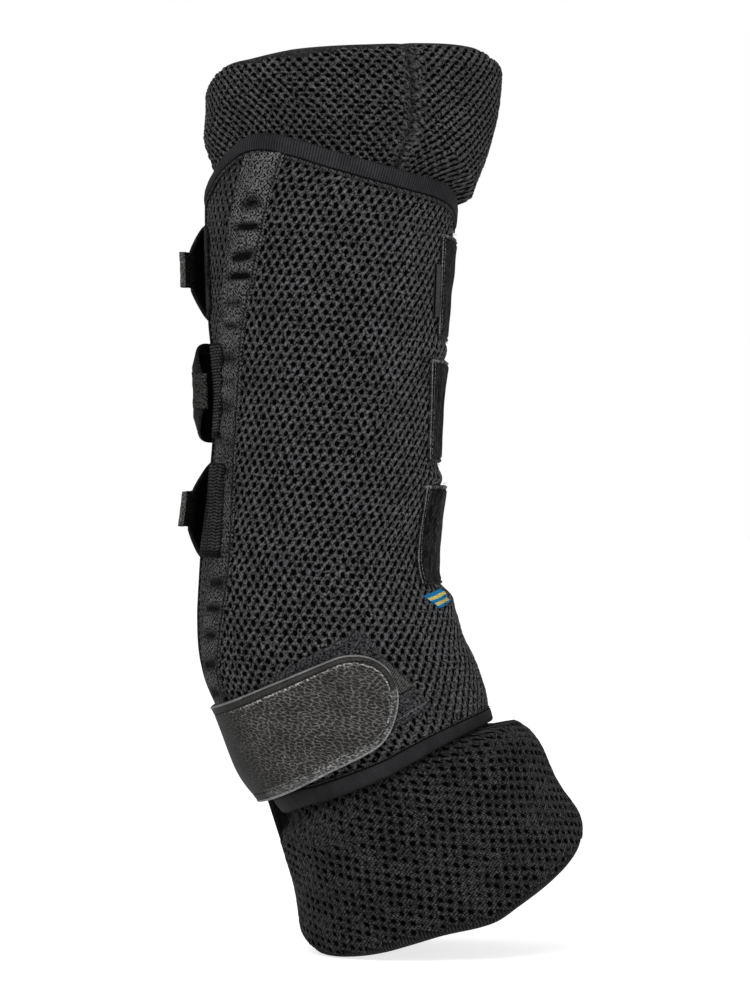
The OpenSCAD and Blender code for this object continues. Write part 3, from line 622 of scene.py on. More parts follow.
# Two darker copies of the tab's cloth, as painted shade.
TAB_PAINTED_HALF_SHADE = weave_material("woven_tab_painted_half_shade", (0.034, 0.034, 0.033), 1.4, 20, 0.9, even=0.2)
TAB_PAINTED_SHADE = weave_material("woven_tab_painted_shade", (0.007, 0.007, 0.006), 1.6, 20, 1.0, even=0.2)
WOVEN_END = weave_material("woven_end", (0.062, 0.062, 0.059), 0.9, 45, 0.9, 0.7, raised=True)
BAR = weave_material("keeper_bar", (0.058, 0.058, 0.058), 2.5, 0, 0.15, 0.55, 0.05)
ROLLED_EDGE = leather_material(
    "rolled_edge", (0.21, 0.207, 0.203), (2.6, 1.9), 0.35, (0.25, 2.0), 0.6, 0.15, True
)
LIP = leather_material("leather_lip", (0.30, 0.30, 0.295), (2.5, 2.0), 0.1, (0.7, 1.6), 0.5, 0.25, True)
DARK_THREAD = plain_material("dark_thread", (0.006, 0.006, 0.007), 0.8, 0.12)
PALE_THREAD = weave_material("pale_thread", (0.26, 0.26, 0.26), 1.2, 0)


# ---- the knit: cells with a hole each ----
# A cell's corners from its middle, in twelfths of the lattice's row and step
HEX_CELL = [
    (6, 0), (6, 4), (3, 6), (0, 8), (-3, 6), (-6, 4), (-6, 0), (-6, -4), (-3, -6), (0, -8), (3, -6), (6, -4),
]
BOX_CELL = [
    (6, -2), (6, 2), (6, 6), (2, 6), (-2, 6), (-6, 6), (-6, 2), (-6, -2), (-6, -6), (-2, -6), (2, -6),
    (6, -6),
]
CELL_UNIT = CORNERS = 12
BACKING = 1.7


def knit_cells(name, lattice, hole, keep, place, materials, cell=HEX_CELL, seed=1, crest=0.4,
               fill=0.0, wobble=0.22, strands=None, vary=None):
    """Open knit as a lattice of cells. The lattice has its row and step, as vectors in arc
    lengths, and the s and t covered; hole gives the half sizes of a hole, keep(angle, level) the
    cells wanted, and place(s, t, h) the points. Neighbours share their outline, which is the
    yarn's crest. strands(angle, level) is 1 or -1 where the yarn stands up along one diagonal and
    2 where it stands in columns. vary(angle, level) gives how wide and how high the holes are, how
    light the yarn is, and how far a hole leans to the right for its height."""
    row, step, ((s0, s1), (t0, t1)) = np.array(lattice[0]), np.array(lattice[1]), lattice[2]
    lines = np.arange(math.floor(t0 / step[1]) - 2, math.ceil(t1 / step[1]) + 3)
    reach = int(max(abs(s0), abs(s1)) / row[0]) + 40
    i, j = (x.ravel() for x in np.meshgrid(np.arange(-reach, reach), lines, indexing="ij"))
    p = i + 0.5 * (j % 2) * (cell is HEX_CELL)
    centre = p[:, None] * row + j[:, None] * step
    s, t = centre.T
    kept = (s > s0) & (s < s1) & (t > t0) & (t < t1)
    p, j, centre = p[kept], j[kept], centre[kept]
    angle, level = from_arc(*centre.T)
    kept = keep(angle, level)
    p, j, centre, angle, level = (x[kept] for x in (p, j, centre, angle, level))
    lay = vary(angle, level) if vary else (1, 1, 1, 0)
    wide, high, _, lean = (np.broadcast_to(x, p.shape)[:, None] for x in lay)
    n, corner = len(p), np.array(cell)
    keys = np.stack([np.rint(p * CELL_UNIT).astype(int), j * CELL_UNIT], -1)[:, None] + corner
    unique, number = np.unique(keys.reshape(-1, 2), axis=0, return_inverse=True)
    number = number.reshape(n, CORNERS)

    outline = unique[:, :1] / CELL_UNIT * row + unique[:, 1:] / CELL_UNIT * step
    outline_h = crest * (1 + 0.3 * hashed(*unique.T, seed + 3))
    # The crests' tone varies at random; the relief also carries painted shade, darker on strands that cross
    # down, at the hole rims and on the hole floors.
    tone = 1.2 + 0.2 * hashed(*unique.T, seed + 13)
    outline_at = from_arc(*outline.T)
    if strands:
        role = np.zeros(len(unique), int)
        for k, (x, y) in enumerate(cell):
            if abs(y) >= 6:
                role[number[:, k]] = 3 if x == 0 else (1 if x * y > 0 else -1)
        lie = strands(*outline_at)
        crossing = (role != 0) & ((role == lie) | (lie == 2))
        outline_h = np.where(crossing, -0.5 * crest, outline_h)
        tone = np.where(crossing, 0.6, tone)
    if vary:
        tone = tone * vary(*outline_at)[2]

    a, b = np.rint(p * 2).astype(int), j

    def at_corners(salt):
        return hashed(a[:, None] * CORNERS + np.arange(CORNERS), b[:, None], seed + salt)

    offset = (corner[:, :1] * row + corner[:, 1:] * step) / CELL_UNIT
    bearing = np.arctan2(offset[:, 1] / hole[1], offset[:, 0] / hole[0])
    grow = 1 + 0.08 * hashed(a, b, seed + 4)
    grow = np.where(hashed(a, b, seed + 9) < 2 * fill - 1, 0.45, grow)
    middle = (centre + 0.1 * np.stack([hashed(a, b, seed + 5), hashed(a, b, seed + 6)], -1))[:, None]
    ring_t = np.sin(bearing) * hole[1] * high
    ring = np.stack([np.cos(bearing) * hole[0] * wide + lean * ring_t, ring_t], -1)
    rim = middle + ring * (grow[:, None] * (1 + 0.12 * at_corners(7)))[..., None]
    floor = middle + ring * (grow * 0.8)[:, None, None]
    flat = np.vstack([outline, rim.reshape(-1, 2), floor.reshape(-1, 2)])
    flat = flat + wobble * np.stack([noise(*(flat.T / 6), seed + salt) for salt in (20, 21)], -1)
    # The hole rims get painted shade, darker than the crests and varied at random; the hole floors are black
    # painted shade.
    rim_h, rim_tone = -0.12 + 0.12 * at_corners(8), 0.62 + 0.38 * at_corners(17)
    height = np.concatenate([outline_h, rim_h.ravel(), np.full(n * CORNERS, -BACKING)])
    light = np.concatenate([tone, rim_tone.ravel(), np.zeros(n * CORNERS)])
    rims = len(unique) + np.arange(n * CORNERS).reshape(n, CORNERS)
    floors = rims + n * CORNERS
    yarn, wall = (
        np.stack([one, np.roll(one, -1, 1), np.roll(two, -1, 1), two], -1).reshape(-1, 4)
        for one, two in ((number, rims), (rims, floors))
    )
    # The hole walls and floors take the second material, the near-black painted shade.
    return write_mesh(
        name, place(*flat.T, height), [yarn, wall, floors], materials, [0, 1, 1], flat,
        np.stack([light, 0 * light], -1), turn_out=False,
    )


def billow(s, t, amount=0.35):
    """Slack in the cloth, in millimetres."""
    return amount * (noise(s / 23, t / 31, 51) + 0.5 * noise(s / 9, t / 13, 52))


# Where the shell bulges or is drawn in beside the anchors in front: level, run, rise
FRONT_SLACK = [(24.5, 4.5, 2.0), (-39.5, 5, 3.0), (-89, 6, -2.0), (-101, 6, 1.8)]


def shell_place(s, t, h):
    angle, level = from_arc(s, t)
    front = ease((angle - 135) / 35) * ease((225 - angle) / 35)
    slack = front * sum(rise * bell(level, at, run) for at, run, rise in FRONT_SLACK)
    return leg_point(angle, level, h + billow(s, t) - 0.2 + slack)


def slit_round(angle, level, radius=4.5):
    """How far the padding's face falls away towards the closing edges."""
    return radius * (1 - rounded(off_slit(angle, level) - SLIT_W / 2, radius))


# The dart sewn down the cuff's inner side: level and angle of its two ends
DART_LOW, DART_HIGH = (120.8, 118.8), (170.7, 113.0)


def dart_angle(level):
    return mix(DART_LOW[1], DART_HIGH[1], (level - DART_LOW[0]) / (DART_HIGH[0] - DART_LOW[0]))


def dart_off(angle, level):
    """Distance in millimetres from the dart."""
    return (angle - dart_angle(level)) * per_degree(level)


def dart_relief(angle, level):
    """The dart's fold, with puckers beside it and a notch at the rim."""
    off = dart_off(angle, level)
    fold = -2.1 * bell(off, 0, 1.7) * (1 + 0.4 * noise(level / 3.1, 0.5, 171))
    beside = 0.9 * bell(np.abs(off), 4.2, 2.4) * (0.7 + 0.9 * noise(off / 3.5, level / 4.5, 172))
    notch = -1.8 * bell(off, 0, 3.0) * ease((level - 157) / 7)
    return (fold + beside + notch) * (level > 100) * (np.abs(off) < 20)


def ripples(angle, level):
    """Slack folds in the skirt below the hem, mostly towards the back, and its fullness in front."""
    s, t = rim_arc(angle, level)
    below, round_it = hem_level(angle) - level, fold_over(angle)
    share = ease(below / 5) * (1 - ease(below / 30)) * mix(1, 0.3, ease((round_it - 50) / 60))
    front = ease((round_it - 105) / 50) * ease(below / 7) * (1 - ease((below - 20) / 30))
    return 1.1 * share * noise((s + 0.45 * t) / 4.2, t / 26, 173) + 3.0 * front


def liner_face(angle, level):
    """How far out the liner's face lies, before its folds."""
    return mix(MESH_OUT, puff_at(angle), puffed(angle, level)) + billow(*rim_arc(angle, level), 0.6)


def liner_point(angle, level, h, upward):
    """Points of the padded liner: past the rim a level goes on round the roll and down inside."""
    way, rim = (1.0, cuff_rim(angle)) if upward else (-1.0, skirt_rim(angle))
    face = liner_face(angle, level) + (dart_relief if upward else ripples)(angle, level)
    fall = slit_round(angle, np.clip(level, -255, 170))
    radius = (puff_at(angle) - LINER_INNER) / 2
    start = rim - way * radius
    run = way * (level - start)
    turn = np.clip(run / radius, 0, math.pi)
    past = np.maximum(run - math.pi * radius, 0)
    at = np.where(run < 0, level, start + way * ((radius + h) * np.sin(turn) - past))
    return leg_point(angle, at, face - radius + (radius + h - fall) * np.cos(turn))


def cuff_place(s, t, h):
    return liner_point(*from_arc(s, t), h, True)


def skirt_place(s, t, h):
    return liner_point(*from_arc(s, t), h, False)


# How far the holes stop short of the rims; the cuff has a plain band on its inner side
SKIRT_BAND = 4.0
CUFF_BAND = [(0, 1.5), (25, 2.2), (50, 3.6), (72, 4.0), (92, 2.2), (108, 1), (360, 1)]


def cuff_band(angle):
    return smooth(CUFF_BAND, angle % 360)


def on_shell(angle, level):
    off_seam = np.abs(angle - seam_angle(level)) * per_degree(level) > 8
    return off_seam & (level > hem_level(angle) + 2.5) & (level < top_edge(angle) - 3)


def behind_seam(angle, level):
    return on_shell(angle, level) & (angle < seam_angle(level))


def before_seam(angle, level):
    return on_shell(angle, level) & (angle > seam_angle(level))


def on_cuff(angle, level):
    return (level > top_edge(angle) - 1) & (level < cuff_rim(angle) - cuff_band(angle))


def on_skirt(angle, level):
    return (level < hem_level(angle) + 2) & (level > skirt_rim(angle) + SKIRT_BAND)


def one_way(angle, level):
    return np.ones(np.shape(angle), int)


def in_columns(angle, level):
    return np.full(np.shape(angle), 2)


def cuff_lie(angle, level):
    """The cuff's knit lies on the other diagonal past its dart."""
    return np.where(dart_off(angle, level) < 0, -1, 1)


def near_dart(angle, level):
    """The cuff's holes close towards its dart and lean along the raised yarn away from it; the yarn gets
    painted shade in the dart's fold and is a little lighter where it is drawn.
    """
    off = dart_off(angle, level)
    opening = mix(0.25, 1, ease((np.abs(off) - 0.8) / 6))
    drawn = np.where(off < 0, ease((78 - angle) / 40), ease((off - 4) / 10))
    # Painted shade darkens the yarn in the dart's fold.
    light = mix(0.3, 1, ease((np.abs(off) - 0.2) / 1.6)) * (1 + 0.1 * drawn)
    lean = np.sign(off) * (0.15 + 0.6 * drawn)
    return opening * (1 - 0.18 * drawn), opening * (1 + 0.2 * drawn), light, lean


def drawn_shell(angle, level):
    """Towards the front the shell's holes lean and narrow, and just above the hem they nearly close."""
    front = ease((angle - 106) / 30)
    low = ease((HEM + 46 - level) / 18) * ease((angle - 84) / 22)
    wide = (1 - 0.2 * front) * (1 - 0.3 * low)
    return wide, 1 + 0.1 * front + 0.1 * low, 1 + 0.1 * front * (1 - low), 0.12 + 0.48 * front


def slack_knit(angle, level):
    """Holes that close where the skirt's knit is gathered."""
    s, t = rim_arc(angle, level)
    slack = noise(s / 13, t / 9, 174) + 0.6 * noise(s / 5, t / 5, 175)
    back = 0.35 * ease((75 - fold_over(angle)) / 40)
    opening = mix(1.05, 0.45, ease((slack + back - 0.25) / 0.5))
    return opening, opening, 1 + 0.12 * slack, 0


# Each knit's lattice: its row, its step, and the s and t that it covers
SHELL_LATTICE = ((4.75, -0.28), (0.6, 3.72), ((-230, 380), (-260, 160)))
CUFF_LATTICE = ((5.2, -0.1), (-0.2, 2.5), ((-230, 400), (70, 215)))
SKIRT_LATTICE = ((4.16, -0.90), (1.06, 4.64), ((-240, 440), (-390, -110)))
SHELL_HOLE, BACK_HOLE, CUFF_HOLE, SKIRT_HOLE = (1.15, 1.45), (0.85, 1.5), (1.25, 0.97), (1.15, 1.2)
SHELL_GAP, LINER_GAP = 4.5, 2.5


def make_knit(name, sides, gap, inside, lattice, hole, place, yarn, slot, nodes=(), **settings):
    """A knit between two angles, a gap from the slit; one on the outer side has its placement baked in
    instead of riding a body.
    """
    def keep(angle, level):
        kept = (angle > sides[0]) & (angle <= sides[1]) & (off_slit(angle, level) > gap)
        return kept & inside(angle, level)
    obj = knit_cells(name, lattice, hole, keep, place, [yarn, PAINTED_PIT_SHADE], **settings)
    dress(obj, "root", slot, *nodes, fold=name.endswith("outer"))


def make_knits():
    shell = (SHELL_LATTICE, SHELL_HOLE, shell_place, KNIT, "shell_mesh")
    back = (SHELL_LATTICE, BACK_HOLE, shell_place, KNIT, "shell_mesh")
    cuff = (CUFF_LATTICE, CUFF_HOLE, cuff_place, LINER_KNIT, "liner_mesh")
    skirt = (SKIRT_LATTICE, SKIRT_HOLE, skirt_place, SKIRT_KNIT, "liner_mesh")
    in_cuff = {"seed": 31, "strands": cuff_lie, "vary": near_dart}
    in_skirt = {"cell": BOX_CELL, "seed": 61, "fill": 0.06, "crest": 0.35, "wobble": 0.45, "vary": slack_knit}
    make_knit(
        "shell_back", (SLIT_ANGLE, 60), SHELL_GAP, behind_seam, *back, ["shell_back_panel"],
        strands=in_columns,
    )
    make_knit(
        "shell_inner", INNER, SHELL_GAP, before_seam, *shell, ["shell_medial_panel"],
        strands=one_way, vary=drawn_shell,
    )
    make_knit(
        "shell_outer", OUTER, SHELL_GAP, on_shell, *shell, ["shell_front_panel", "flap_panel"],
        strands=one_way,
    )
    for kind, inside, knit, settings in (
        ("cuff", on_cuff, cuff, in_cuff), ("skirt", on_skirt, skirt, in_skirt),
    ):
        for side, angles in (("inner", INNER), ("outer", OUTER)):
            make_knit(f"{kind}_{side}", angles, LINER_GAP, inside, *knit, **settings)


# ---- the padded liner under it ----
RIM_STEPS, DOWN_STEPS = 22, 34


def make_liner(name, low, high, nodes):
    """One side of the liner: a closed pad whose section runs round outer face, rims and lining."""
    angles = np.linspace(low, high, 92)
    under = -BACKING - 0.25
    rows = []
    for angle in angles:
        top, hem, cuff, skirt = (float(line(angle)) for line in (top_edge, hem_level, cuff_rim, skirt_rim))
        radius = (float(puff_at(angle)) - LINER_INNER) / 2
        up = np.concatenate([
            np.linspace(skirt + radius, hem - 2, 14), np.linspace(hem + 1, hem + 12, 5),
            np.linspace(hem + 20, top - 12, 22), np.linspace(top - 6, top + 1, 4),
            np.linspace(top + 4, cuff - radius, 14),
        ])
        turn = unit(RIM_STEPS + 1)[1:] * math.pi * radius
        down = np.linspace(cuff - radius, skirt + radius, DOWN_STEPS)[1:-1]
        cuff_sink, skirt_sink = (
            under * ease((radius - band + 2.5 - turn) / 2.5) for band in (float(cuff_band(angle)), SKIRT_BAND)
        )
        lining = LINING_IN + 0.4 * PUFF * puffed(angle, down) + slit_round(angle, down)
        rows.append(np.vstack([
            liner_point(angle, up, under, True),
            liner_point(angle, cuff - radius + turn, cuff_sink, True),
            leg_point(angle, down, lining),
            liner_point(angle, skirt + radius - turn[::-1], skirt_sink[::-1], False),
        ]))
    rows = np.array(rows)
    n, m = rows.shape[:2]
    cuff_roll = len(up)
    skirt_roll = cuff_roll + RIM_STEPS + DOWN_STEPS - 2
    # Faces of kind 0, the liner's outer face under the knit, take the near-black painted shade.
    kinds = np.zeros((n - 1, m), int)
    at_slit = off_slit((angles[1:] + angles[:-1]) / 2, np.zeros(n - 1)) <= 3.2
    kinds[at_slit, :cuff_roll] = 3
    kinds[:, cuff_roll:cuff_roll + RIM_STEPS] = 3
    kinds[:, cuff_roll + RIM_STEPS:skirt_roll] = 1
    kinds[:, skirt_roll:skirt_roll + RIM_STEPS] = 2
    run = np.cumsum(np.linalg.norm(np.diff(rows, axis=1, prepend=rows[:, :1]), axis=2), axis=1)
    round_it = np.repeat(to_arc(angles, np.zeros(n))[0][:, None], m, 1)
    obj = write_mesh(
        name, rows.reshape(-1, 3), tube_faces(n, m), [PAINTED_PIT_SHADE, LINING, RIM_KNIT, RIM_CLOTH],
        [kinds.ravel(), 1, 1], np.stack([round_it, run], -1).reshape(-1, 2),
    )
    dress(obj, "root", "lining", *nodes, fold=name.endswith("outer"))


def make_liners():
    make_liner("liner_inner", INNER[0] + 1.3, INNER[1], ("liner_mesh", "liner_wadding", "liner_lining"))
    make_liner("liner_outer", OUTER[0], OUTER[1] - 1.3, ("flap_mesh", "flap_wadding", "flap_lining"))


# ---- bindings, stitches and threads ----
TOP_H, HEM_H, EDGE_W, LEG_IN = 10.0, 7.5, 7.0, -4.1
# A stitch's rings: how far along it, how wide, and how high
BEAD = [(-1.0, 0.25, -0.8), (-0.72, 0.85, 0.0), (0.0, 1.0, 0.25), (0.72, 0.85, 0.0), (1.0, 0.25, -0.8)]
BEAD_SIDES = 6


def make_sheet(name, body, slot, node, *shape, fold=False, **kinds):
    """A sheet_mesh on its body, in place of one CAD node."""
    dress(sheet_mesh(name, *shape, **kinds), body, slot, node, fold=fold)


def run_mesh(name, us, path, spot, along, materials, kinds=None):
    """A closed run of one section: path is the section's outline, spot(u, a, b) places its points
    at each station u, and along is how far on the cloth each station lies."""
    path = np.array(path)
    u, a = np.meshgrid(us, path[:, 0], indexing="ij")
    n, m = u.shape
    points = leg_point(*spot(u, a, np.broadcast_to(path[:, 1], u.shape)))
    run = np.cumsum(np.linalg.norm(np.diff(np.vstack([path, path[:1]]), axis=0), axis=1))
    cloth = np.stack(np.broadcast_arrays(along[:, None], run), -1).reshape(-1, 2)
    index = [np.tile(kinds, n - 1) if kinds else 0, 0, 0]
    return write_mesh(name, points.reshape(-1, 3), tube_faces(n, m), materials, index, cloth)


def top_spot(u, a, b):
    s = to_arc(u, 0)[0]
    wave = 0.12 * noise(s / 4, 0, 71) + 0.2 * noise(s / 17, 0, 72)
    return u, top_edge(u) + a + wave, b + 0.15 * noise(s / 2.2, 0.5, 73) * (b > 0.6)


def hem_spot(u, a, b):
    s = to_arc(u, 0)[0]
    level = hem_level(u) - a + 0.15 * noise(s / 9, 0, 74)
    return u, level, b + 0.1 * noise(s / 3, 0.5, 75) * (b > 0.6)


def closing_spot(u, a, b, way):
    """Places on the closing edge of the fixed side, way 1, or of the flap, way -1."""
    edge = SLIT_ANGLE + way * slit_slack(u) + (360 if way < 0 else 0)
    return edge - way * a / per_degree(u), u, b + 0.15 * noise(u / 6, 0.5, 76) * (b > 0.6)


def binding_path(height, edge_strip=0.0, bulge=0.4):
    """Section of a binding, from its outer lower edge over the shell's edge to the inside."""
    inside = [
        (0.45, -0.2), (0.6, -1.6), (0.45, -3.0), (-0.5, -3.95), (-4.9, LEG_IN), (-5, -3.6),
        (-0.8, -3.5), (-0.35, -1.6), (-0.7, 0.35), (-height + 0.4, 0.3),
    ]
    if edge_strip:
        top = -height + edge_strip
        outside = [
            (-height, 0.45), (-height + 0.1, 0.85), (-height + 0.5, 1.0), (top - 0.35, 1.0),
            (top - 0.1, 0.45), (top + 0.15, 0.45), (top + 0.5, 1.15), (top + 1.6, 1.1 + bulge),
        ]
    else:
        outside = [
            (-height, 0.45), (-height + 0.1, 0.9), (-height + 0.6, 1.15), (-height + 1.8, 1.1 + bulge * 0.6),
        ]
    outside += [(-height * 0.45, 1.15 + bulge), (-1.8, 1.0 + bulge * 0.8), (-0.6, 0.95), (0.1, 0.45)]
    return outside + inside


def unit_rows(vectors):
    return vectors / np.linalg.norm(vectors, axis=1)[:, None]


def run_lengths(points):
    """Distance along a line of points at each of them."""
    return np.concatenate([[0], np.cumsum(np.linalg.norm(np.diff(points, axis=0), axis=1))])


def sew(name, body, slot, spots, pitch, length, radius, material=DARK_THREAD, loose=0.0, seed=5, fold=False):
    """A row of stitches along a line of spots, which are angles, levels and distances out. Each is
    a small long bead, and loose is how far it may turn off the line."""
    angle, level, out = np.broadcast_arrays(*spots)
    points, lifted = leg_point(angle, level, out), leg_point(angle, level, out + 1)
    run = run_lengths(points)
    at = np.arange(pitch / 2, run[-1] - pitch / 2, pitch)
    number = np.arange(len(at))
    at = at + 0.12 * pitch * hashed(number, 0, seed)

    def read(table, where):
        return np.stack([np.interp(where, run, column) for column in table.T], -1)

    centre = read(points, at)
    up = read(lifted, at) - centre
    ahead = unit_rows(read(points, np.minimum(at + 0.4, run[-1])) - read(points, np.maximum(at - 0.4, 0)))
    side = unit_rows(np.cross(ahead, up))
    ahead = ahead + side * (loose * hashed(number, 1, seed))[:, None]
    half = length / 2 * (1 + 0.2 * hashed(number, 2, seed))[:, None]
    beads = np.stack([
        centre + ahead * along * half + side * wide * radius * math.cos(turn)
        + up * radius * (wide * 0.8 * math.sin(turn) + rise * 0.6)
        for along, wide, rise in BEAD
        for turn in np.linspace(0, 2 * math.pi, BEAD_SIDES, endpoint=False)
    ], 1)
    base = number[:, None] * len(BEAD) * BEAD_SIDES
    this = np.arange((len(BEAD) - 1) * BEAD_SIDES)
    following = this + 1 - BEAD_SIDES * (this % BEAD_SIDES == BEAD_SIDES - 1)
    quads = np.stack([this, following, following + BEAD_SIDES, this + BEAD_SIDES], -1)
    cap = np.arange(BEAD_SIDES)
    faces = [(quads[:, None] + base).reshape(-1, 4), base + cap[::-1], base + len(this) + cap]
    cloth = beads[..., [0, 2]].reshape(-1, 2)
    obj = write_mesh(name, beads.reshape(-1, 3), faces, [material], None, cloth)
    dress(obj, body, slot, fold=fold)


def thread(name, points, radius, material):
    """A loose thread: a thin tube through points in millimetres."""
    knots = np.arange(len(points))
    t = np.linspace(0, knots[-1], 4 * knots[-1] + 1)
    line = np.stack([smooth(np.stack([knots, column], -1), t) for column in np.transpose(points)], -1)
    way = unit_rows(np.gradient(line, axis=0))
    side = unit_rows(np.cross(way, (0.3, 0.8, 0.52)))
    up = np.cross(way, side)
    turn = np.linspace(0, 2 * math.pi, 5, endpoint=False)[None, :, None]
    size = radius * np.linspace(1, 0.5, len(line))[:, None, None]
    tube = line[:, None] + size * (np.cos(turn) * side[:, None] + np.sin(turn) * up[:, None])
    tube = tube.reshape(-1, 3)
    return write_mesh(name, tube, tube_faces(len(line), 5), [material], None, tube[:, [0, 2]])


def make_dart():
    """The seam at the bottom of the cuff's dart."""
    level = np.linspace(124, 168, 90)
    angle = dart_angle(level)
    out = liner_face(angle, level) + dart_relief(angle, level) + 0.25
    sew("cuff_dart_stitches", "root", "liner_mesh", (angle, level, out), 3.2, 2.2, 0.3, seed=176)


def make_bindings():
    for kind, spot, line, way, height, strip, bulge, first, tape, out in (
        ("top", top_spot, top_edge, 1, TOP_H, 2.0, 0.35, 1, TAPE, 0.62),
        ("hem", hem_spot, hem_level, -1, HEM_H, 0.9, 0.1, 2, HEM_TAPE, 0.5),
    ):
        slack = float(slit_slack(SHELL_RISE if way > 0 else HEM))
        path = binding_path(height, strip, bulge)
        # The bindings' groove, and the hem's lower edge, take the near-black painted shade.
        kinds = [first, 1, 1, 2, 2, 2] + [0] * (len(path) - 6)
        for side, low, high, node in (
            ("inner", INNER[0] + slack, INNER[1], f"{kind}_binding"),
            ("outer", OUTER[0], OUTER[1] - slack, f"flap_{kind}_binding"),
        ):
            name, us, fold = f"{kind}_binding_{side}", np.linspace(low, high, 320), side == "outer"
            obj = run_mesh(name, us, path, spot, to_arc(us, 0)[0], [tape, TAPE_EDGE, GROOVE_PAINTED_SHADE], kinds)
            dress(obj, "root", "binding_tape", node, fold=fold)
            angle = np.linspace(low + 0.5, high - 0.5, 300)
            sew(
                f"{name}_stitches", "root", "binding_tape",
                (angle, line(angle) - way * (height - strip), out), 2.6, 1.9, 0.22, fold=fold,
            )
    high = float(top_edge(SLIT_ANGLE)) - TOP_H - 0.6
    levels = np.linspace(HEM + HEM_H + 0.3, high, 170)
    for name, way, body, node in (
        ("closing_binding_fixed", 1, "root", "closing_binding"),
        ("closing_binding_flap", -1, "flap", "flap_edge_binding"),
    ):
        def spot(u, a, b, way=way):
            return closing_spot(u, a, b, way)
        obj = run_mesh(name, levels, binding_path(EDGE_W, 0.0, 0.1), spot, levels, [CLOSING_TAPE])
        dress(obj, body, "binding_tape", node)


# ---- ribbon and loop patches ----
RIBBON_W, RIBBON_BASE, PATCH_T = 22.0, 0.35, 0.7
# Puckers across the ribbon: level, depth, half height, tilt
PUCKERS = [
    (96, 1.2, 4.8, 0.02), (84, 2.5, 2.1, -0.03), (69.5, 2.0, 2.6, 0.12), (60, 2.6, 1.9, 0.0),
    (46.5, 0.9, 1.5, 0.05), (35.5, 0.9, 1.6, -0.06), (20, 0.8, 3.6, 0.05), (8, 0.5, 2.0, -0.05),
    (-4, 0.9, 4.2, 0.02), (-20, 0.6, 2.4, -0.08), (-36, 0.9, 2.4, 0.05), (-90, 1.1, 3.0, 0.05),
    (-101, 1.7, 2.0, 0.0), (-112, 1.3, 2.4, -0.05), (-124, 1.8, 2.2, 0.05), (-135, 1.4, 2.2, 0.0),
]


def pucker(across, level):
    """Height of the puckered ribbon: across runs from -1 to 1 over its width."""
    height = 0.28 * noise(across * 1.3, level / 4.5, 81) + 0.2 * noise(across * 2.2, level / 2.1, 82)
    window = np.exp(-((across - 0.05) / 0.62) ** 4)
    for at, depth, half, tilt in PUCKERS:
        off = (level - at - tilt * across * RIBBON_W / 2) / half
        ridges = 0.38 * bell(off, 1.9, 1.1) + 0.3 * bell(off, -1.9, 1.1)
        height = height + window * depth * (ridges - bell(off, 0, 1))
    return height


def ribbon_spot(u, w):
    across = u * 2 - 1
    low, high = HEM + HEM_H + 0.6, float(top_edge(seam_angle(SHELL_RISE))) - TOP_H + 0.5
    level = mix(low, high, w)
    angle = seam_angle(level) + across * RIBBON_W / 2 / per_degree(level)
    edge = np.minimum(1 - np.abs(across), 0.16) / 0.16
    height = pucker(across, level) * ease(edge * 1.4)
    groove = 0.3 * bell(np.abs(across), 0.86, 0.05)
    outer = RIBBON_BASE + PATCH_T + 0.25 * ease(edge) + height - groove
    # Painted light and shade: the ribbon is lighter towards the top and darker low down, darker in its
    # puckers' creases and lighter on their ridges, and darker in the groove along its right-hand edge.
    lit = 1 + 0.25 * ease((level - 70) / 30) - 0.15 * ease((30 - level) / 60)
    tone = lit * np.clip(1 + 0.75 * height, 0.05, 1.3) * np.clip(1 - 2.6 * groove * (across > 0), 0.1, 1)
    return angle, level, outer, np.minimum(RIBBON_BASE - 0.1, outer - 0.5), tone


def make_ribbon():
    across = np.concatenate([[0, 0.012], np.linspace(0.035, 0.965, 34), [0.988, 1]])
    make_sheet("seam_ribbon_cloth", "root", "ribbon", "seam_ribbon", across, unit(420), ribbon_spot, [SATIN])
    for side, at in (("left", 0.07), ("right", 0.93)):
        angle, level, outer = ribbon_spot(at, np.linspace(0.004, 0.996, 300))[:3]
        sew(f"seam_ribbon_stitches_{side}", "root", "ribbon", (angle, level, outer + 0.05), 2.9, 2.1, 0.24)


STRAP_W, STRAP_FALL, LEATHER_T = 50.0, 10.0, 1.4
STRAP_Z = [64.0, 4.0, -55.0]
TIP_ANGLE = [7.0, 6.0, 7.0]


def strap_level(i, angle):
    """Level of a strap's middle line, which falls towards its anchor at the front."""
    return STRAP_Z[i] - STRAP_FALL * ease((fold_over(angle) - 10) / 150) * (1.3 if i == 2 else 1)


def combed(s, t):
    ribs = np.sin(2 * math.pi * (s / 2.0 + 0.25 * noise(s / 3, t / 9, 93)))
    return 0.2 + 0.2 * ribs + 0.2 * noise(s * 0.9, t / 1.6, 94)


def scales(s, t, high=1.5, long=3.2):
    row = np.floor(t / high)
    x = (s / long + 0.5 * (row % 2) + 0.12 * noise(s, t, 95)) % 1 - 0.5
    y = t / high - row - 0.5
    return 1.1 * np.sqrt(np.maximum(0.17 - x ** 2 - y ** 2, 0)) + 0.08 * noise(s / 1.5, t, 91)


def herringbone(s, t, wide=4.4):
    column = np.floor(s / wide)
    share = s / wide - column - 0.5
    slope = np.where(column % 2 == 0, 1, -1)
    rows = 0.22 * np.sin(2 * math.pi * (t / 1.6 + 0.6 * slope * share))
    return 0.24 + rows + 0.1 * noise(s, t, 92) - 0.2 * (np.abs(share) > 0.42)


# Each loop patch: its relief, its painted shade by height that darkens the hollows (by and from), and how far
# it reaches over the ribbon. The first is a narrow strip with round ends, up to an angle.
LOOP_PATCHES = [(combed, 3.0, 0.2, 0.0), (scales, 6.5, -0.15, 6.5), (herringbone, 4.6, -0.1, 14.0)]
LOOP_STRIP_TO, LOOP_H = 14.0, STRAP_W - 3


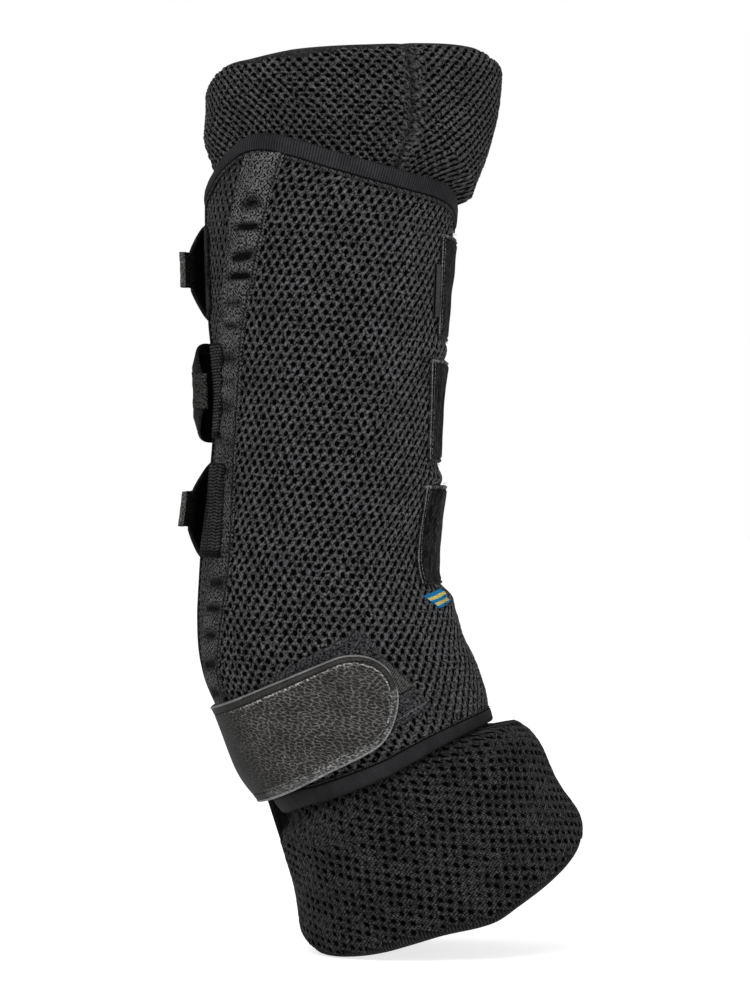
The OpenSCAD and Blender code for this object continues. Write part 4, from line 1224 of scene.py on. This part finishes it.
def make_loops():
    for i, (relief, by, base, past_ribbon) in enumerate(LOOP_PATCHES):
        def spot(u, w, i=i, relief=relief, by=by, base=base, past_ribbon=past_ribbon):
            level = STRAP_Z[i] + (w - 0.5) * LOOP_H
            degree = per_degree(level)
            low = SLIT_ANGLE + slit_slack(level) + (EDGE_W + 0.3) / degree
            ribbon_left = high = seam_angle(level) - (RIBBON_W / 2 - 0.5) / degree
            end = from_ends(w, LOOP_H)
            if i == 0:
                high = low + (LOOP_STRIP_TO - low) * np.maximum(rounded(end, 7.0), 0.12)
            high = high + past_ribbon / degree
            angle = mix(low, high, u)
            edge = np.minimum(from_ends(u, (high - low) * degree), end)
            rise = ease(edge / 1.2)
            loops = relief(*to_arc(angle, level))
            fold = ease((4.5 - w * LOOP_H) / 1.5) if i else 0
            over = ease((angle - ribbon_left) * degree / 1.5 + 1)
            outer = 0.35 + 0.45 * rise + rise * (0.25 + loops * (1 - fold))
            outer = outer + 0.15 * (edge < 1.6) * (edge > 0.4)
            outer = outer + 0.5 * fold * rounded(w * LOOP_H, 2.2) + 1.15 * over
            # Painted shade: darker in the hollows, under the turned end and towards the edges.
            tone = np.clip(base + by * loops, 0.06, 2.6) * (1 - 0.75 * fold) * mix(0.25, 1, ease(edge / 1.6))
            return angle, level, outer, 0.3 + 1.1 * over, tone
        make_sheet(
            f"loop_patch_{i + 1}_cloth", "root", "loop_knit", f"loop_patch_{i + 1}",
            unit(60 if i else 30), unit(150), spot, [LOOPS],
        )


# ---- anchors, elastic bands and what is sewn beside them ----
ANCHOR_ANGLE, ANCHOR_LEAN = [156.0, 153.5, 149.0], [-0.08, -0.06, 0.16]
ANCHOR_UP, ANCHOR_GAPE = [2.5, 0.5, 0.0], [0.5, 0.8, 3.6]
ANCHOR_TO, ANCHOR_DEGREE = 200.0, 1.05
BAND_H = STRAP_W - 3


def anchor_height(angle):
    return mix(0.35, 1.9, ease((angle - 185) / 5))


def anchor_spot(i, u, w):
    """Anchor i, drawn in and worn, with painted light and shade on its folds and lips: u runs back from its
    front edge and w up it.
    """
    half = (STRAP_W + 1) / 2
    angle0, rise = mix(ANCHOR_ANGLE[i], ANCHOR_TO, u), (w * 2 - 1) * half
    level = strap_level(i, angle0) + rise + ANCHOR_UP[i] * (1 - u)
    angle = angle0 + (1 - u) * ANCHOR_LEAN[i] * rise
    across = u * (ANCHOR_TO - ANCHOR_ANGLE[i]) * ANCHOR_DEGREE
    edge = np.minimum(np.minimum(across, (1 - u) * 40), half - np.abs(rise))
    lip, tuck = 0.75 * bell(edge, 0.9, 0.55), -0.45 * bell(edge, 2.4, 0.5)
    fold = 0.35 * noise(across / 2.2, level / 22, 101 + i) + 0.3 * noise(across / 5, level / 9, 104 + i)
    crack = np.abs(noise(across / 1.6, level / 14, 107 + i))
    cracks = (1 - ease(crack / 0.12)) * ease((edge - 2) / 1.5)
    gape = ANCHOR_GAPE[i] * ease(rise / half * 0.8 + 0.2)
    if i == 2:
        gape = gape + 1.9 * bell(rise, -1, 11) - 1.7 * ease((-rise - 12) / 10)
    gape = gape * ease((across - 2) / 16)
    outer = anchor_height(angle0) + mix(0.5, LEATHER_T, ease(edge / 3)) + gape - 0.32 * (1 - ease(edge / 0.7))
    outer = outer + lip + fold * ease(edge / 3) + tuck - 0.3 * cracks
    streak = noise(across / 0.9, level / 12, 110 + i) + 0.7 * noise(across / 2.4, level / 5, 113 + i)
    worn = 0.55 * streak + 1.4 * np.maximum(streak - 0.75, 0)
    # Painted light and shade: lighter on the fold crests and the raised lip, darker in the tuck; the streaks
    # are wear and the cracks are darker.
    tone = np.clip(1 + 0.9 * fold + worn - 0.85 * cracks + 1.3 * lip + 1.3 * tuck, 0.12, 3.2)
    # Painted highlight along the top lip.
    top_lip_highlight = ease((half - rise - 0.2) / 0.4) * (1 - ease((half - rise - 1.6) / 0.7))
    return angle, level, outer, anchor_height(angle0) - 0.05 + gape, tone * (1 + 5 * top_lip_highlight)


def make_anchors():
    us = stations((0, 0.14, 14), (0.14, 1, 46))
    ws = stations((0, 0.07, 9), (0.07, 0.93, 60), (0.93, 1, 9))
    for i in range(3):
        name = f"strap_anchor_{i + 1}"

        def spot(u, w, i=i):
            return anchor_spot(i, u, w)

        make_sheet(f"{name}_cloth", "root", "leatherette", name, us, ws, spot, [ANCHOR])
        for row, at, pitch, radius, loose in (
            ("edge", 0.6, 0.95, 0.38, 0.25), ("seam", 3.0, 2.2, 0.13, 0.05),
        ):
            u = np.full(120, at / (ANCHOR_TO - ANCHOR_ANGLE[i]) / ANCHOR_DEGREE)
            angle, level, outer = spot(u, np.linspace(0.02, 0.98, 120))[:3]
            sew(
                f"{name}_{row}_stitches", "root", "leatherette", (angle, level, outer + 0.02),
                pitch, pitch * 0.8, radius, PALE_THREAD, loose, 111 + i,
            )
        for k, (share, high) in enumerate(((0.15, 1), (0.35, 1), (0.3, 0), (0.5, 0))):
            if i == 1 and k % 2:
                continue
            angle, level, outer = (float(x) for x in spot(np.array(share), np.array(float(high)))[:3])
            q = np.array([0, 0.35, 0.7, 1.0])
            up = (1 if high else -1) * (0.2 + 1.1 * q) + 0.5 * np.sin(3 * q + k)
            points = leg_point(angle + 3.0 * q, level + up, outer + 0.2 + 1.3 * q)
            dress(thread(f"{name}_fray_{k + 1}", points, 0.16, PALE_THREAD), "root", "leatherette")
        make_band(i)


def make_band(i):
    """Elastic band from under the anchor to under the strap, across the fold."""
    def spot(u, w):
        angle = mix(191.0, 360 - float(fold_angle(strap_level(i, 270))) + 1.2, u)
        rise, edge = (w - 0.5) * BAND_H, from_ends(w, BAND_H)
        rib = 0.16 * np.sin(2 * math.pi * rise / 2.6) * ease(edge / 2)
        outer = 0.2 + 1.3 * rounded(np.maximum(edge, 0.04), 0.8) + rib
        return angle, strap_level(i, angle) + rise, outer, 0.42
    make_sheet(
        f"elastic_band_{i + 1}_cloth", "root", "elastic", f"elastic_band_{i + 1}",
        unit(50), unit(110), spot, [ELASTIC], fold=True,
    )


def make_keeper():
    """Smooth bar beside the first anchor, with a low near-black strip on its left as painted shade in the
    groove.
    """
    middle, bar_w, bar_h = float(strap_level(0, 160)) - 0.5, 4.8, 26

    def spot(u, w):
        rise = (w - 0.5) * bar_h
        level = middle + rise
        angle = ANCHOR_ANGLE[0] - 2.4 + ANCHOR_LEAN[0] * rise + (u - 0.62) * bar_w / per_degree(level)
        edge = np.minimum(np.minimum(u - 0.24, 1 - u) * bar_w, from_ends(w, bar_h))
        return angle, level, 0.65 + 1.4 * rounded(edge, 1.1), 0.35

    def groove(u, w):
        # Faces left of the bar take the near-black painted shade.
        return (u[1:, 1:] < 0.25).astype(int).ravel()

    us = np.concatenate([[0, 0.12], 0.24 + 0.38 * (1 - np.cos(np.linspace(0, math.pi, 15)))])
    ws = np.concatenate([
        [0, 0.006, 0.014, 0.025, 0.04], np.linspace(0.06, 0.94, 30), [0.96, 0.975, 0.986, 0.994, 1],
    ])
    make_sheet(
        "anchor_keeper_bar", "root", "keeper", "anchor_keeper", us, ws, spot, [BAR, GROOVE_PAINTED_SHADE],
        face_kind=groove,
    )


def make_tag():
    """Small folded woven tag in the seam below the third anchor, plain blue with yellow stripes."""
    tag_h = 8
    top = float(strap_level(2, 160)) - STRAP_W / 2 - 4.5

    def spot(u, w):
        level = top + (w - 1) * tag_h + 3.5 * (u - 0.5)
        angle = 142.5 + u * 20 / per_degree(level) + (1 - w) * 8
        fold = 0.5 * np.sin(math.pi * w) + 0.25 * np.sin(2 * math.pi * (u * 1.5 + w))
        return angle, level, 0.7 + fold + 0.5 * ease(from_ends(w, tag_h) / 0.6), 0.35 + 0.3 * fold

    def stripes(u, w):
        middle = (w[:-1, :-1] + w[1:, 1:]) / 2
        return ((np.abs(middle - 0.3) < 0.1) | (np.abs(middle - 0.7) < 0.1)).astype(int).ravel()

    make_sheet(
        "side_tag_cloth", "root", "tag_cloth", "side_tag", unit(36), unit(21), spot,
        [TAG_BLUE, TAG_YELLOW], face_kind=stripes,
    )


# ---- cannon straps ----
LIFT_FROM, TIP_LIFT, TIP_R, STRAP_BASE = -42.0, 7.0, 24.0, 0.9
TAB_W, TAB_LEN, TAB_T, TAB_STEPS, TAB_LANES = 18.0, 11.0, 0.55, 46, 21
# A tab's section past the strap's tip, as distance on and rise: its outer side, then back under
TAB_OVER = [(-TAB_LEN, 0.0), (-6, 0.05), (-2, 0.2), (0.0, 0.45)]
PROUD_TAB = [(1.9, 2.0), (3.6, 3.9), (4.1, 4.5)]
PROUD_UNDER = [(4.9, 4.3), (4.9, 3.3), (3.4, 1.1), (1.8, -0.8), (-0.4, -2.6), (-4.5, -3.2)]
CURLED_TAB = [(2.4, 0.1), (4.2, -0.7), (4.7, -1.6)]
CURLED_UNDER = [(4.1, -2.4), (2.0, -2.6), (0.2, -2.9), (-3.0, -3.1)]


def strap_lift(i, angle, across):
    """How far a strap stands off the shell; the middle one curls back in at its tip."""
    s = (angle - LIFT_FROM) / (TIP_ANGLE[i] - LIFT_FROM)
    if i == 1:
        curl = np.sin(np.radians(np.clip(s * 145, 0, 145))) ** 1.4
        return (TIP_LIFT + 3.3) * curl * (1 - 0.84 * np.maximum(np.abs(across) - 0.5, 0))
    taper = 1 - 0.95 * np.clip((np.abs(across) - 0.4) / 0.6, 0, 1) ** 1.15
    return TIP_LIFT * np.maximum(s, 0) ** 1.5 * mix(1, taper, ease(s * 1.4))


def tip_half(half, radius, rest):
    """Half width of a strap at a distance from its round-cornered tip."""
    corner = np.sqrt(np.maximum(radius * radius - (radius - np.maximum(rest, 0)) ** 2, 0))
    return np.where(rest >= radius, half, half - radius + corner)


def strap_place(i, angle0, w, width=STRAP_W, inset_tip=0.0):
    """Level, lift and distance from the edge on strap i; w runs from 0 to 1 across it."""
    rest = (TIP_ANGLE[i] - inset_tip - angle0) * per_degree(STRAP_Z[i]) + 0.6
    half = tip_half(width / 2, min(TIP_R - (STRAP_W - width) / 2, width / 2), rest)
    rise = (w * 2 - 1) * half
    edge = np.minimum(half - np.abs(rise), rest)
    return strap_level(i, angle0) + rise, STRAP_BASE + strap_lift(i, angle0, rise / STRAP_W * 2), edge


def make_straps():
    for i in range(3):
        body, tip = f"strap_{i + 1}_body", TIP_ANGLE[i]
        start = -float(fold_angle(strap_level(i, -90)))

        def spot(u, w, i=i):
            level, inner, edge = strap_place(i, u, w)
            s, t = to_arc(u, level)
            buckle = 0.25 * noise(s / 9, t / 6, 121 + i) * ease(edge / 4) - 0.22 * bell(edge, 2.6, 0.35)
            return u, level, inner + 0.25 + (LEATHER_T - 0.25) * rounded(edge, 0.9) + buckle, inner

        def hook(u, w, i=i):
            level, base, edge = strap_place(i, u, w, STRAP_W - 10, 2.5)
            s, t = to_arc(u, level)
            teeth = np.abs(np.sin(math.pi * s / 1.1)) * (0.6 + 0.4 * np.sin(2 * math.pi * t / 1.3))
            return u, level, base - 0.02, base - 0.45 - 0.35 * teeth * (edge > 0.5)

        ws = 0.5 - 0.5 * np.cos(np.linspace(0, math.pi, 40))
        make_sheet(
            f"strap_{i + 1}_leather", body, "leatherette", f"strap_{i + 1}",
            tip_steps(start, tip, 90, 1.6), ws, spot, [LEATHER, STRAP_BACKING], back_kind=1,
        )
        make_sheet(
            f"strap_{i + 1}_hooks", body, "hook_tape", f"hook_patch_{i + 1}",
            tip_steps(-22, tip - 2.5, 80, 1.3), unit(60), hook, [HOOKS],
        )
        angle = np.linspace(start + 2, tip - 10, 160)
        for side, w in (("low", 0.05), ("high", 0.95)):
            level, inner, _ = strap_place(i, angle, w)
            spots = (angle, level, inner + LEATHER_T - 0.1)
            sew(f"strap_{i + 1}_stitches_{side}", body, "leatherette", spots, 3.0, 2.2, 0.22)
        make_tab(i, body)


def make_tab(i, body):
    """Woven pull tab folded round a strap's tip: down its outer side, out past the tip as a
    flattened loop, and back under it. The middle strap's tab curls in. Away from a proud tab's lit loop the
    cloth is a darker copy, as painted shade."""
    curled = i == 1
    over = TAB_OVER + (CURLED_TAB if curled else PROUD_TAB)
    line = np.array(over + (CURLED_UNDER if curled else PROUD_UNDER), float)
    knots = run_lengths(line)
    at = np.linspace(0, knots[-1], TAB_STEPS)
    along, rise = (smooth(np.stack([knots, column], -1), at) for column in line.T)
    normal = TAB_T / 2 * unit_rows(np.stack([-np.gradient(rise), np.gradient(along)], -1))
    degree, tip = float(per_degree(STRAP_Z[i])), TIP_ANGLE[i]
    angle0 = tip + along / degree
    out0 = STRAP_BASE + LEATHER_T + (0.2 if curled else 0.75) + rise
    out0 = out0 + strap_lift(i, np.minimum(angle0, tip), 0 * angle0)
    across = np.linspace(-0.5, 0.5, TAB_LANES)[None]
    flutter = 0.18 * noise(at[:, None] / 3, across * 6, 131 + i)
    width = TAB_W - 0.6 * np.abs(np.sin(at / 2))[:, None]
    level = STRAP_Z[i] + 1 + across * width - 0.06 * TAB_W * (at / at[-1])[:, None]
    sides = [
        leg_point(
            (angle0 + way * normal[:, 0] / degree)[:, None], level,
            (out0 + way * normal[:, 1])[:, None] + flutter,
        ).reshape(-1, 3)
        for way in (1, -1)
    ]
    bend = knots[len(over)]
    # Only the lit loop of a proud tab keeps the tab's own colour; the rest takes painted shade.
    lit = (np.abs(at[:-1] - knots[len(over) - 1]) < 2.6) & (not curled)
    kind = np.repeat(np.where(lit, 0, np.where(at[:-1] > bend, 2, 1 if curled else 2)), TAB_LANES - 1)
    cloth = np.stack(np.broadcast_arrays(at[:, None], across * TAB_W), -1).reshape(-1, 2)
    obj = write_mesh(
        f"pull_tab_{i + 1}_cloth", np.vstack(sides), sheet_faces(TAB_STEPS, TAB_LANES),
        [TAB, TAB_PAINTED_HALF_SHADE, TAB_PAINTED_SHADE], [kind, kind, 2], np.tile(cloth, (2, 1)),
    )
    dress(obj, body, "pull_tape", f"pull_tab_{i + 1}")


# ---- fetlock strap and its landing patch ----
FETLOCK_LOW = [(0, 6), (40, 6.5), (66, 8.6), (85, 10.5), (97, 13), (110, 18)]
FETLOCK_WIDTH = [(0, 0), (35, 1.5), (65, 4), (85, 7), (95, 8), (110, 8)]
FETLOCK_W0, FETLOCK_TIP, FETLOCK_TIP_R, BRIDGE = 37.0, 109.2, 21.5, 4.0
FETLOCK_BASE = RIBBON_BASE + PATCH_T + 2.2 + PATCH_T + 0.4
FETLOCK_FOLD = float(fold_angle(HEM * 0.85))


def fetlock_base(angle):
    """The strap's underside lies closest behind, where only the closing edges are under it."""
    return mix(2.5, FETLOCK_BASE, ease((np.abs(angle) - 8) / 36))


def pebbles(x, y):
    """Height from 0 to 1 of the pebbled grain: flat domes longer than high, each round one of the
    points scattered one to a unit square."""
    x, y = (
        x / 3.9 + 0.4 * noise(x / 5, y / 5, 142), y / 1.95 + 0.35 * noise(x / 6, y / 4, 143)
    )
    near, second = np.full(x.shape, 9.0), np.full(x.shape, 9.0)
    for di in (-1, 0, 1):
        for dj in (-1, 0, 1):
            i, j = np.floor(x) + di, np.floor(y) + dj
            d = np.hypot(x - i - 0.5 - 0.42 * hashed(i, j, 141), y - j - 0.5 - 0.42 * hashed(i, j, 142))
            second = np.minimum(second, np.maximum(near, d))
            near = np.minimum(near, d)
    return ease((second - near) / 0.5)


def fetlock_place(angle, w, inset=0.0):
    """Level, underside, distance from the edge and rise from the middle on the fetlock strap."""
    low = HEM + smooth(FETLOCK_LOW, np.abs(angle))
    width = FETLOCK_W0 + smooth(FETLOCK_WIDTH, np.abs(angle))
    rest = (FETLOCK_TIP - angle) * per_degree(HEM * 0.8) + 0.8 - inset
    radius = np.minimum(FETLOCK_TIP_R - inset, width / 2 - inset)
    straight = width / 2 - inset - radius
    rise = (w * 2 - 1) * tip_half(width / 2 - inset, radius, rest)
    past, over = radius - rest, np.abs(rise) - straight
    edge = radius - np.hypot(np.maximum(past, 0), np.maximum(over, 0)) - np.minimum(np.maximum(past, over), 0)
    level = low + width / 2 + rise
    lift = BRIDGE * ease((68 - np.abs(angle)) / 68) * ease((-level + HEM * 0.79) / (-HEM * 0.17))
    return level, fetlock_base(angle) + lift, edge, rise


def low_roll(angle, rise):
    """1 where the strap's lower edge is rolled, 0 elsewhere."""
    return ease((angle - 18) / 18) * ease((-rise - 1) / 6)


def fetlock_spot(u, w):
    level, inner, edge, rise = fetlock_place(u, w)
    s, t = to_arc(u, level)
    roll, past_lip = low_roll(u, rise), ease((edge - 3.2) / 0.6)
    along, across = s * 0.93 - t * 0.36, s * 0.36 + t * 0.93
    above, dome, below = (pebbles(along, across + up) for up in (-0.28, 0, 0.28))
    grain = ease((u - 8) / 50) * past_lip
    blotch = noise(s / 1.3, t / 1.3, 145)
    lip = 0.42 * bell(edge, 0.55, 0.4) * (1 - roll)
    groove = -0.3 * bell(edge, 3.3, 0.35) * (1 - 0.5 * roll)
    outer = inner + 0.3 + (LEATHER_T - 0.5) * rounded(edge, 0.5) + lip + groove
    outer = outer + 0.7 * ease((edge - 3) / 6) * ease((u + 20) / 60)
    outer = outer + grain * (0.36 * dome + 0.08 * noise(s / 1.1, t / 1.1, 144))
    outer = outer + roll * ease(1 - np.abs(edge - 2.3) / 1.9) * (0.75 + 0.35 * blotch)

    # Painted shade: darker towards the back of the leg and in the groove along the edge.
    tone = mix(0.06, 1.15, ease((u + 6) / 60)) * (1 + 2.2 * groove * ease(u / 50))
    # Painted light and shade on the pebbles: lighter on their upper edges, darker on their lower ones.
    tone = tone * (1 + 0.5 * grain * (above - below) * (0.75 + 0.45 * noise(s / 2.1, t / 1.6, 146)))
    # Painted highlight along the ridge inside the groove, mottled.
    bright = (1 - roll) * ease((u - 20) / 30) * bell(edge, 4.0, 0.4)
    tone = tone * (1 + 4.6 * bright * (0.7 + 0.6 * blotch))
    smooth_band = ease((edge - 1.2) / 0.4) * (1 - ease((edge - 3.0) / 0.3)) * (1 - roll)
    tone = tone * (1 + 0.55 * smooth_band * ease(u / 60))
    # The edge lip gets painted shade towards the back.
    tone = np.where(edge < 0.95, mix(0.2, 1, ease((u - 5) / 35)), tone)
    # The rolled edge is pale and mottled, with painted shade towards the back.
    pale = mix(0.3, 1, ease((u - 24) / 26)) * (1 + 0.75 * blotch)
    tone = mix(tone, pale, roll * (edge > 0.9) * (edge < 4))
    return u, level, outer, inner, tone, mix(ease((u - 5) / 45) * past_lip, 1, roll * (edge < 4))


def fetlock_kind(u, w):
    _, _, edge, rise = fetlock_place(u, w)
    edge = (edge[:-1, :-1] + edge[1:, 1:]) / 2
    rolled = low_roll(u, rise)[:-1, :-1] * (edge > 0.5) * (edge < 4.0) > 0.5
    return np.where(edge < 0.85, 1, np.where(rolled, 2, 0)).ravel()


def make_fetlock_strap():
    body = "fetlock_strap_body"
    start, inner_to = 0.5 - FETLOCK_FOLD, 92
    us = np.concatenate([
        stations((start, -5, 60), (-5, inner_to, 230))[:-1], tip_steps(inner_to, FETLOCK_TIP, 60, 1.5),
    ])
    ws = np.cos(np.linspace(math.pi - 0.03, 0.03, 116))
    ws = mix((ws - ws[0]) / (ws[-1] - ws[0]), unit(116), 0.35)
    make_sheet(
        "fetlock_strap_leather", body, "pebbled_leatherette", "fetlock_strap",
        us, ws, fetlock_spot, [PEBBLED, LIP, ROLLED_EDGE], face_kind=fetlock_kind,
    )
    angle = np.concatenate([
        np.linspace(start + 4, inner_to, 180), tip_steps(inner_to, FETLOCK_TIP - 3, 40, 1.5),
    ])
    in_from_edge = np.maximum(0, 1 - 3.3 / np.maximum(fetlock_place(angle, 1.0)[3], 3.4))
    for side, sign in (("high", 1), ("low", -1)):
        _, level, outer = fetlock_spot(angle, 0.5 + sign * 0.5 * in_from_edge)[:3]
        spots = (angle, level, outer + 0.05)
        sew(f"fetlock_strap_stitches_{side}", body, "pebbled_leatherette", spots, 2.6, 1.9, 0.24)

    def hook(u, w):
        level, base, edge, _ = fetlock_place(u, w, 4.0)
        teeth = 0.35 * np.abs(np.sin(math.pi * to_arc(u, level)[0] / 1.2)) * (edge > 0.4)
        return u, level, base - 0.02, base - 0.6 - teeth
    us = np.concatenate([np.linspace(42, inner_to, 120)[:-1], tip_steps(inner_to, FETLOCK_TIP - 4, 50, 1.4)])
    make_sheet("fetlock_strap_hooks", body, "hook_tape", "fetlock_hook_patch", us, unit(50), hook, [HOOKS])


def make_fetlock_band():
    """Elastic band and its anchor on the outer side, in line with the fetlock strap."""
    def low(angle):
        return HEM + mix(10, 24, ease((fold_over(angle) - 70) / 80))

    def band(u, w):
        angle, height = mix(214.0, 360 - FETLOCK_FOLD + 1.2, u), FETLOCK_W0 - 2
        edge = from_ends(w, height)
        rib = 0.16 * np.sin(2 * math.pi * w * height / 2.6) * ease(edge / 2)
        return angle, low(angle) + 2 + w * height, 0.4 + 1.1 * rounded(edge, 0.8) + rib, 0.42

    def anchor(u, w):
        angle = mix(212.0, 236.0, u)
        level = low(angle) + 1 + w * FETLOCK_W0
        edge = np.minimum(from_ends(u, 24), from_ends(w, FETLOCK_W0))
        s, t = to_arc(angle, level)
        lip = 0.35 * bell(edge, 0.8, 0.45) - 0.3 * bell(edge, 2.4, 0.4) + 0.15 * noise(s / 4, t / 9, 151)
        return angle, level, 2.2 + (LEATHER_T - 0.3) * rounded(edge, 0.7) + lip, 1.85

    make_sheet(
        "fetlock_band_cloth", "root", "elastic", "fetlock_band",
        unit(50), unit(90), band, [ELASTIC], fold=True,
    )
    make_sheet(
        "fetlock_anchor_leather", "root", "leatherette", "fetlock_anchor",
        unit(60), unit(70), anchor, [ANCHOR],
    )


# The landing patch is a turned rectangle: its top corner, and the way its front border runs
PATCH_TOP, PATCH_FRONT_WAY = (17.0, -113.5), (0.43, -0.903)
PATCH_ACROSS, PATCH_LONG, PATCH_SEAM = 46.0, 66.0, 2.9
# Its woven end, from and to across the patch and from its front border
END_ACROSS, END_BACK = (15.5, 34.5), (0.2, 10.0)


def landing_spot(a, b):
    """Angle and level of a place on the landing patch: a runs down its front border and b back
    under the strap, in millimetres."""
    fx, fy = PATCH_FRONT_WAY
    return from_arc(PATCH_TOP[0] + a * fx + b * fy, PATCH_TOP[1] + a * fy - b * fx)


def make_landing():
    def spot(u, w):
        a, b = u * PATCH_ACROSS, w * PATCH_LONG
        angle, level = landing_spot(a, b)
        edge = np.minimum(from_ends(u, PATCH_ACROSS), from_ends(w, PATCH_LONG))
        inside = ease((edge - 3.6) / 0.5)
        hem = 0.5 * rounded(edge, 0.6) * (1 - inside) - 0.3 * bell(edge, 3.9, 0.3)
        knit = 0.22 * noise(a, b, 161) * inside + 0.07 * noise(a / 0.8, b / 0.8, 162)
        slope = 0.3 * noise(a / 12, b / 12, 163) * ease(edge / 5)
        return angle, level, 0.45 + 0.5 * rounded(edge, 0.5) + hem + knit + slope, 0.3

    def end(u, w):
        a, b = mix(*END_ACROSS, u), mix(*END_BACK, w)
        wide, long = (last - first for first, last in (END_ACROSS, END_BACK))
        edge = np.minimum(from_ends(u, wide), from_ends(w, long))
        weave = 0.07 * np.sin(2 * math.pi * a / 0.9) * np.sin(2 * math.pi * b / 0.9)
        # Painted shade: the woven end is darker towards its edges.
        tone = mix(0.25, 1.1, ease((edge - 0.3) / 0.9))
        return *landing_spot(a, b), 1.25 + 0.65 * rounded(edge, 0.5) + weave, 1.2, tone

    make_sheet(
        "landing_patch_cloth", "root", "loop_knit", "fetlock_loop_patch",
        unit(96), unit(120), spot, [LANDING],
    )
    make_sheet(
        "landing_patch_end", "root", "loop_knit", "fetlock_patch_end",
        unit(90), unit(54), end, [WOVEN_END],
    )
    back = np.linspace(1, PATCH_LONG - 20, 90)
    for name, a, b, material in (
        ("front", np.linspace(1, PATCH_ACROSS - 1, 90), PATCH_SEAM, DARK_THREAD),
        ("low", PATCH_ACROSS - PATCH_SEAM, back, PALE_THREAD),
        ("high", PATCH_SEAM, back, DARK_THREAD),
    ):
        spots = (*landing_spot(a, b), 1.55)
        sew(f"landing_patch_stitches_{name}", "root", "loop_knit", spots, 2.2, 1.5, 0.2, material)


# ---- stage, lights and camera ----
def make_stage():
    """Pale floor that fades into a white backdrop, in even light."""
    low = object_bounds()[0][2]
    material, shader = make_material("floor", (0.9, 0.9, 0.9), 0.9, 0.0)
    path = add_node(material, "ShaderNodeLightPath").outputs
    glow = add_node(material, "ShaderNodeEmission", Color=(1, 1, 1, 1), Strength=0.75)
    seen = math_node(material, "MAXIMUM", path["Is Camera Ray"], path["Is Glossy Ray"])
    both = add_node(material, "ShaderNodeAddShader", i0=shader.outputs[0], i1=glow.outputs[0])
    mixed = add_node(material, "ShaderNodeMixShader", i0=seen, i1=shader.outputs[0], i2=both.outputs[0])
    tree = material.node_tree
    tree.links.new(mixed.outputs[0], tree.nodes["Material Output"].inputs["Surface"])
    bpy.ops.mesh.primitive_plane_add(size=30, location=(0, 6, low - 0.0005))
    floor = bpy.context.object
    floor.name = "floor"
    floor.data.materials.append(material)

    world = bpy.data.worlds.new("studio")
    bpy.context.scene.world = world
    world.use_nodes = True
    tree = world.node_tree
    ambient = tree.nodes["Background"]
    ambient.inputs["Color"].default_value = (1, 1, 1, 1)
    ambient.inputs["Strength"].default_value = 0.36
    backdrop = add_node(world, "ShaderNodeBackground", Color=(1, 1, 1, 1))
    seen = add_node(world, "ShaderNodeLightPath").outputs["Is Camera Ray"]
    mixed = add_node(world, "ShaderNodeMixShader", i0=seen, i1=ambient.outputs[0], i2=backdrop.outputs[0])
    tree.links.new(mixed.outputs[0], tree.nodes["World Output"].inputs["Surface"])


def add_light(name, place, aim, size, power):
    lamp = bpy.data.lights.new(name, "AREA")
    lamp.shape, lamp.size, lamp.energy = "DISK", size, power
    obj = bpy.data.objects.new(name, lamp)
    bpy.context.scene.collection.objects.link(obj)
    obj.location = place
    obj.rotation_euler = (Vector(aim) - Vector(place)).to_track_quat("-Z", "Y").to_euler()


def make_camera():
    """Level view of the inner side, square to the boot's middle."""
    centre_x, centre_z, far, view_height = 0.0225, -0.05, 2.2, 0.5
    data = bpy.data.cameras.new("camera")
    data.sensor_fit = "VERTICAL"
    data.sensor_height = 36
    data.lens = data.sensor_height * far / view_height
    camera = bpy.data.objects.new("camera", data)
    bpy.context.scene.collection.objects.link(camera)
    camera.location = (centre_x, -far, centre_z)
    camera.rotation_euler = (math.pi / 2, 0, 0)
    bpy.context.scene.camera = camera


make_camera()
make_knits()
make_liners()
make_dart()
make_bindings()
make_ribbon()
make_loops()
make_anchors()
make_keeper()
make_tag()
make_straps()
make_fetlock_strap()
make_landing()
make_fetlock_band()
make_stage()
add_light("key", (-0.5, -2.2, 1.7), (0.02, 0, -0.03), 1.5, 30)
add_light("fill", (1.5, -2.2, 0.3), (0.02, 0, -0.05), 1.5, 10)
bpy.context.scene.view_settings.view_transform = "Standard"
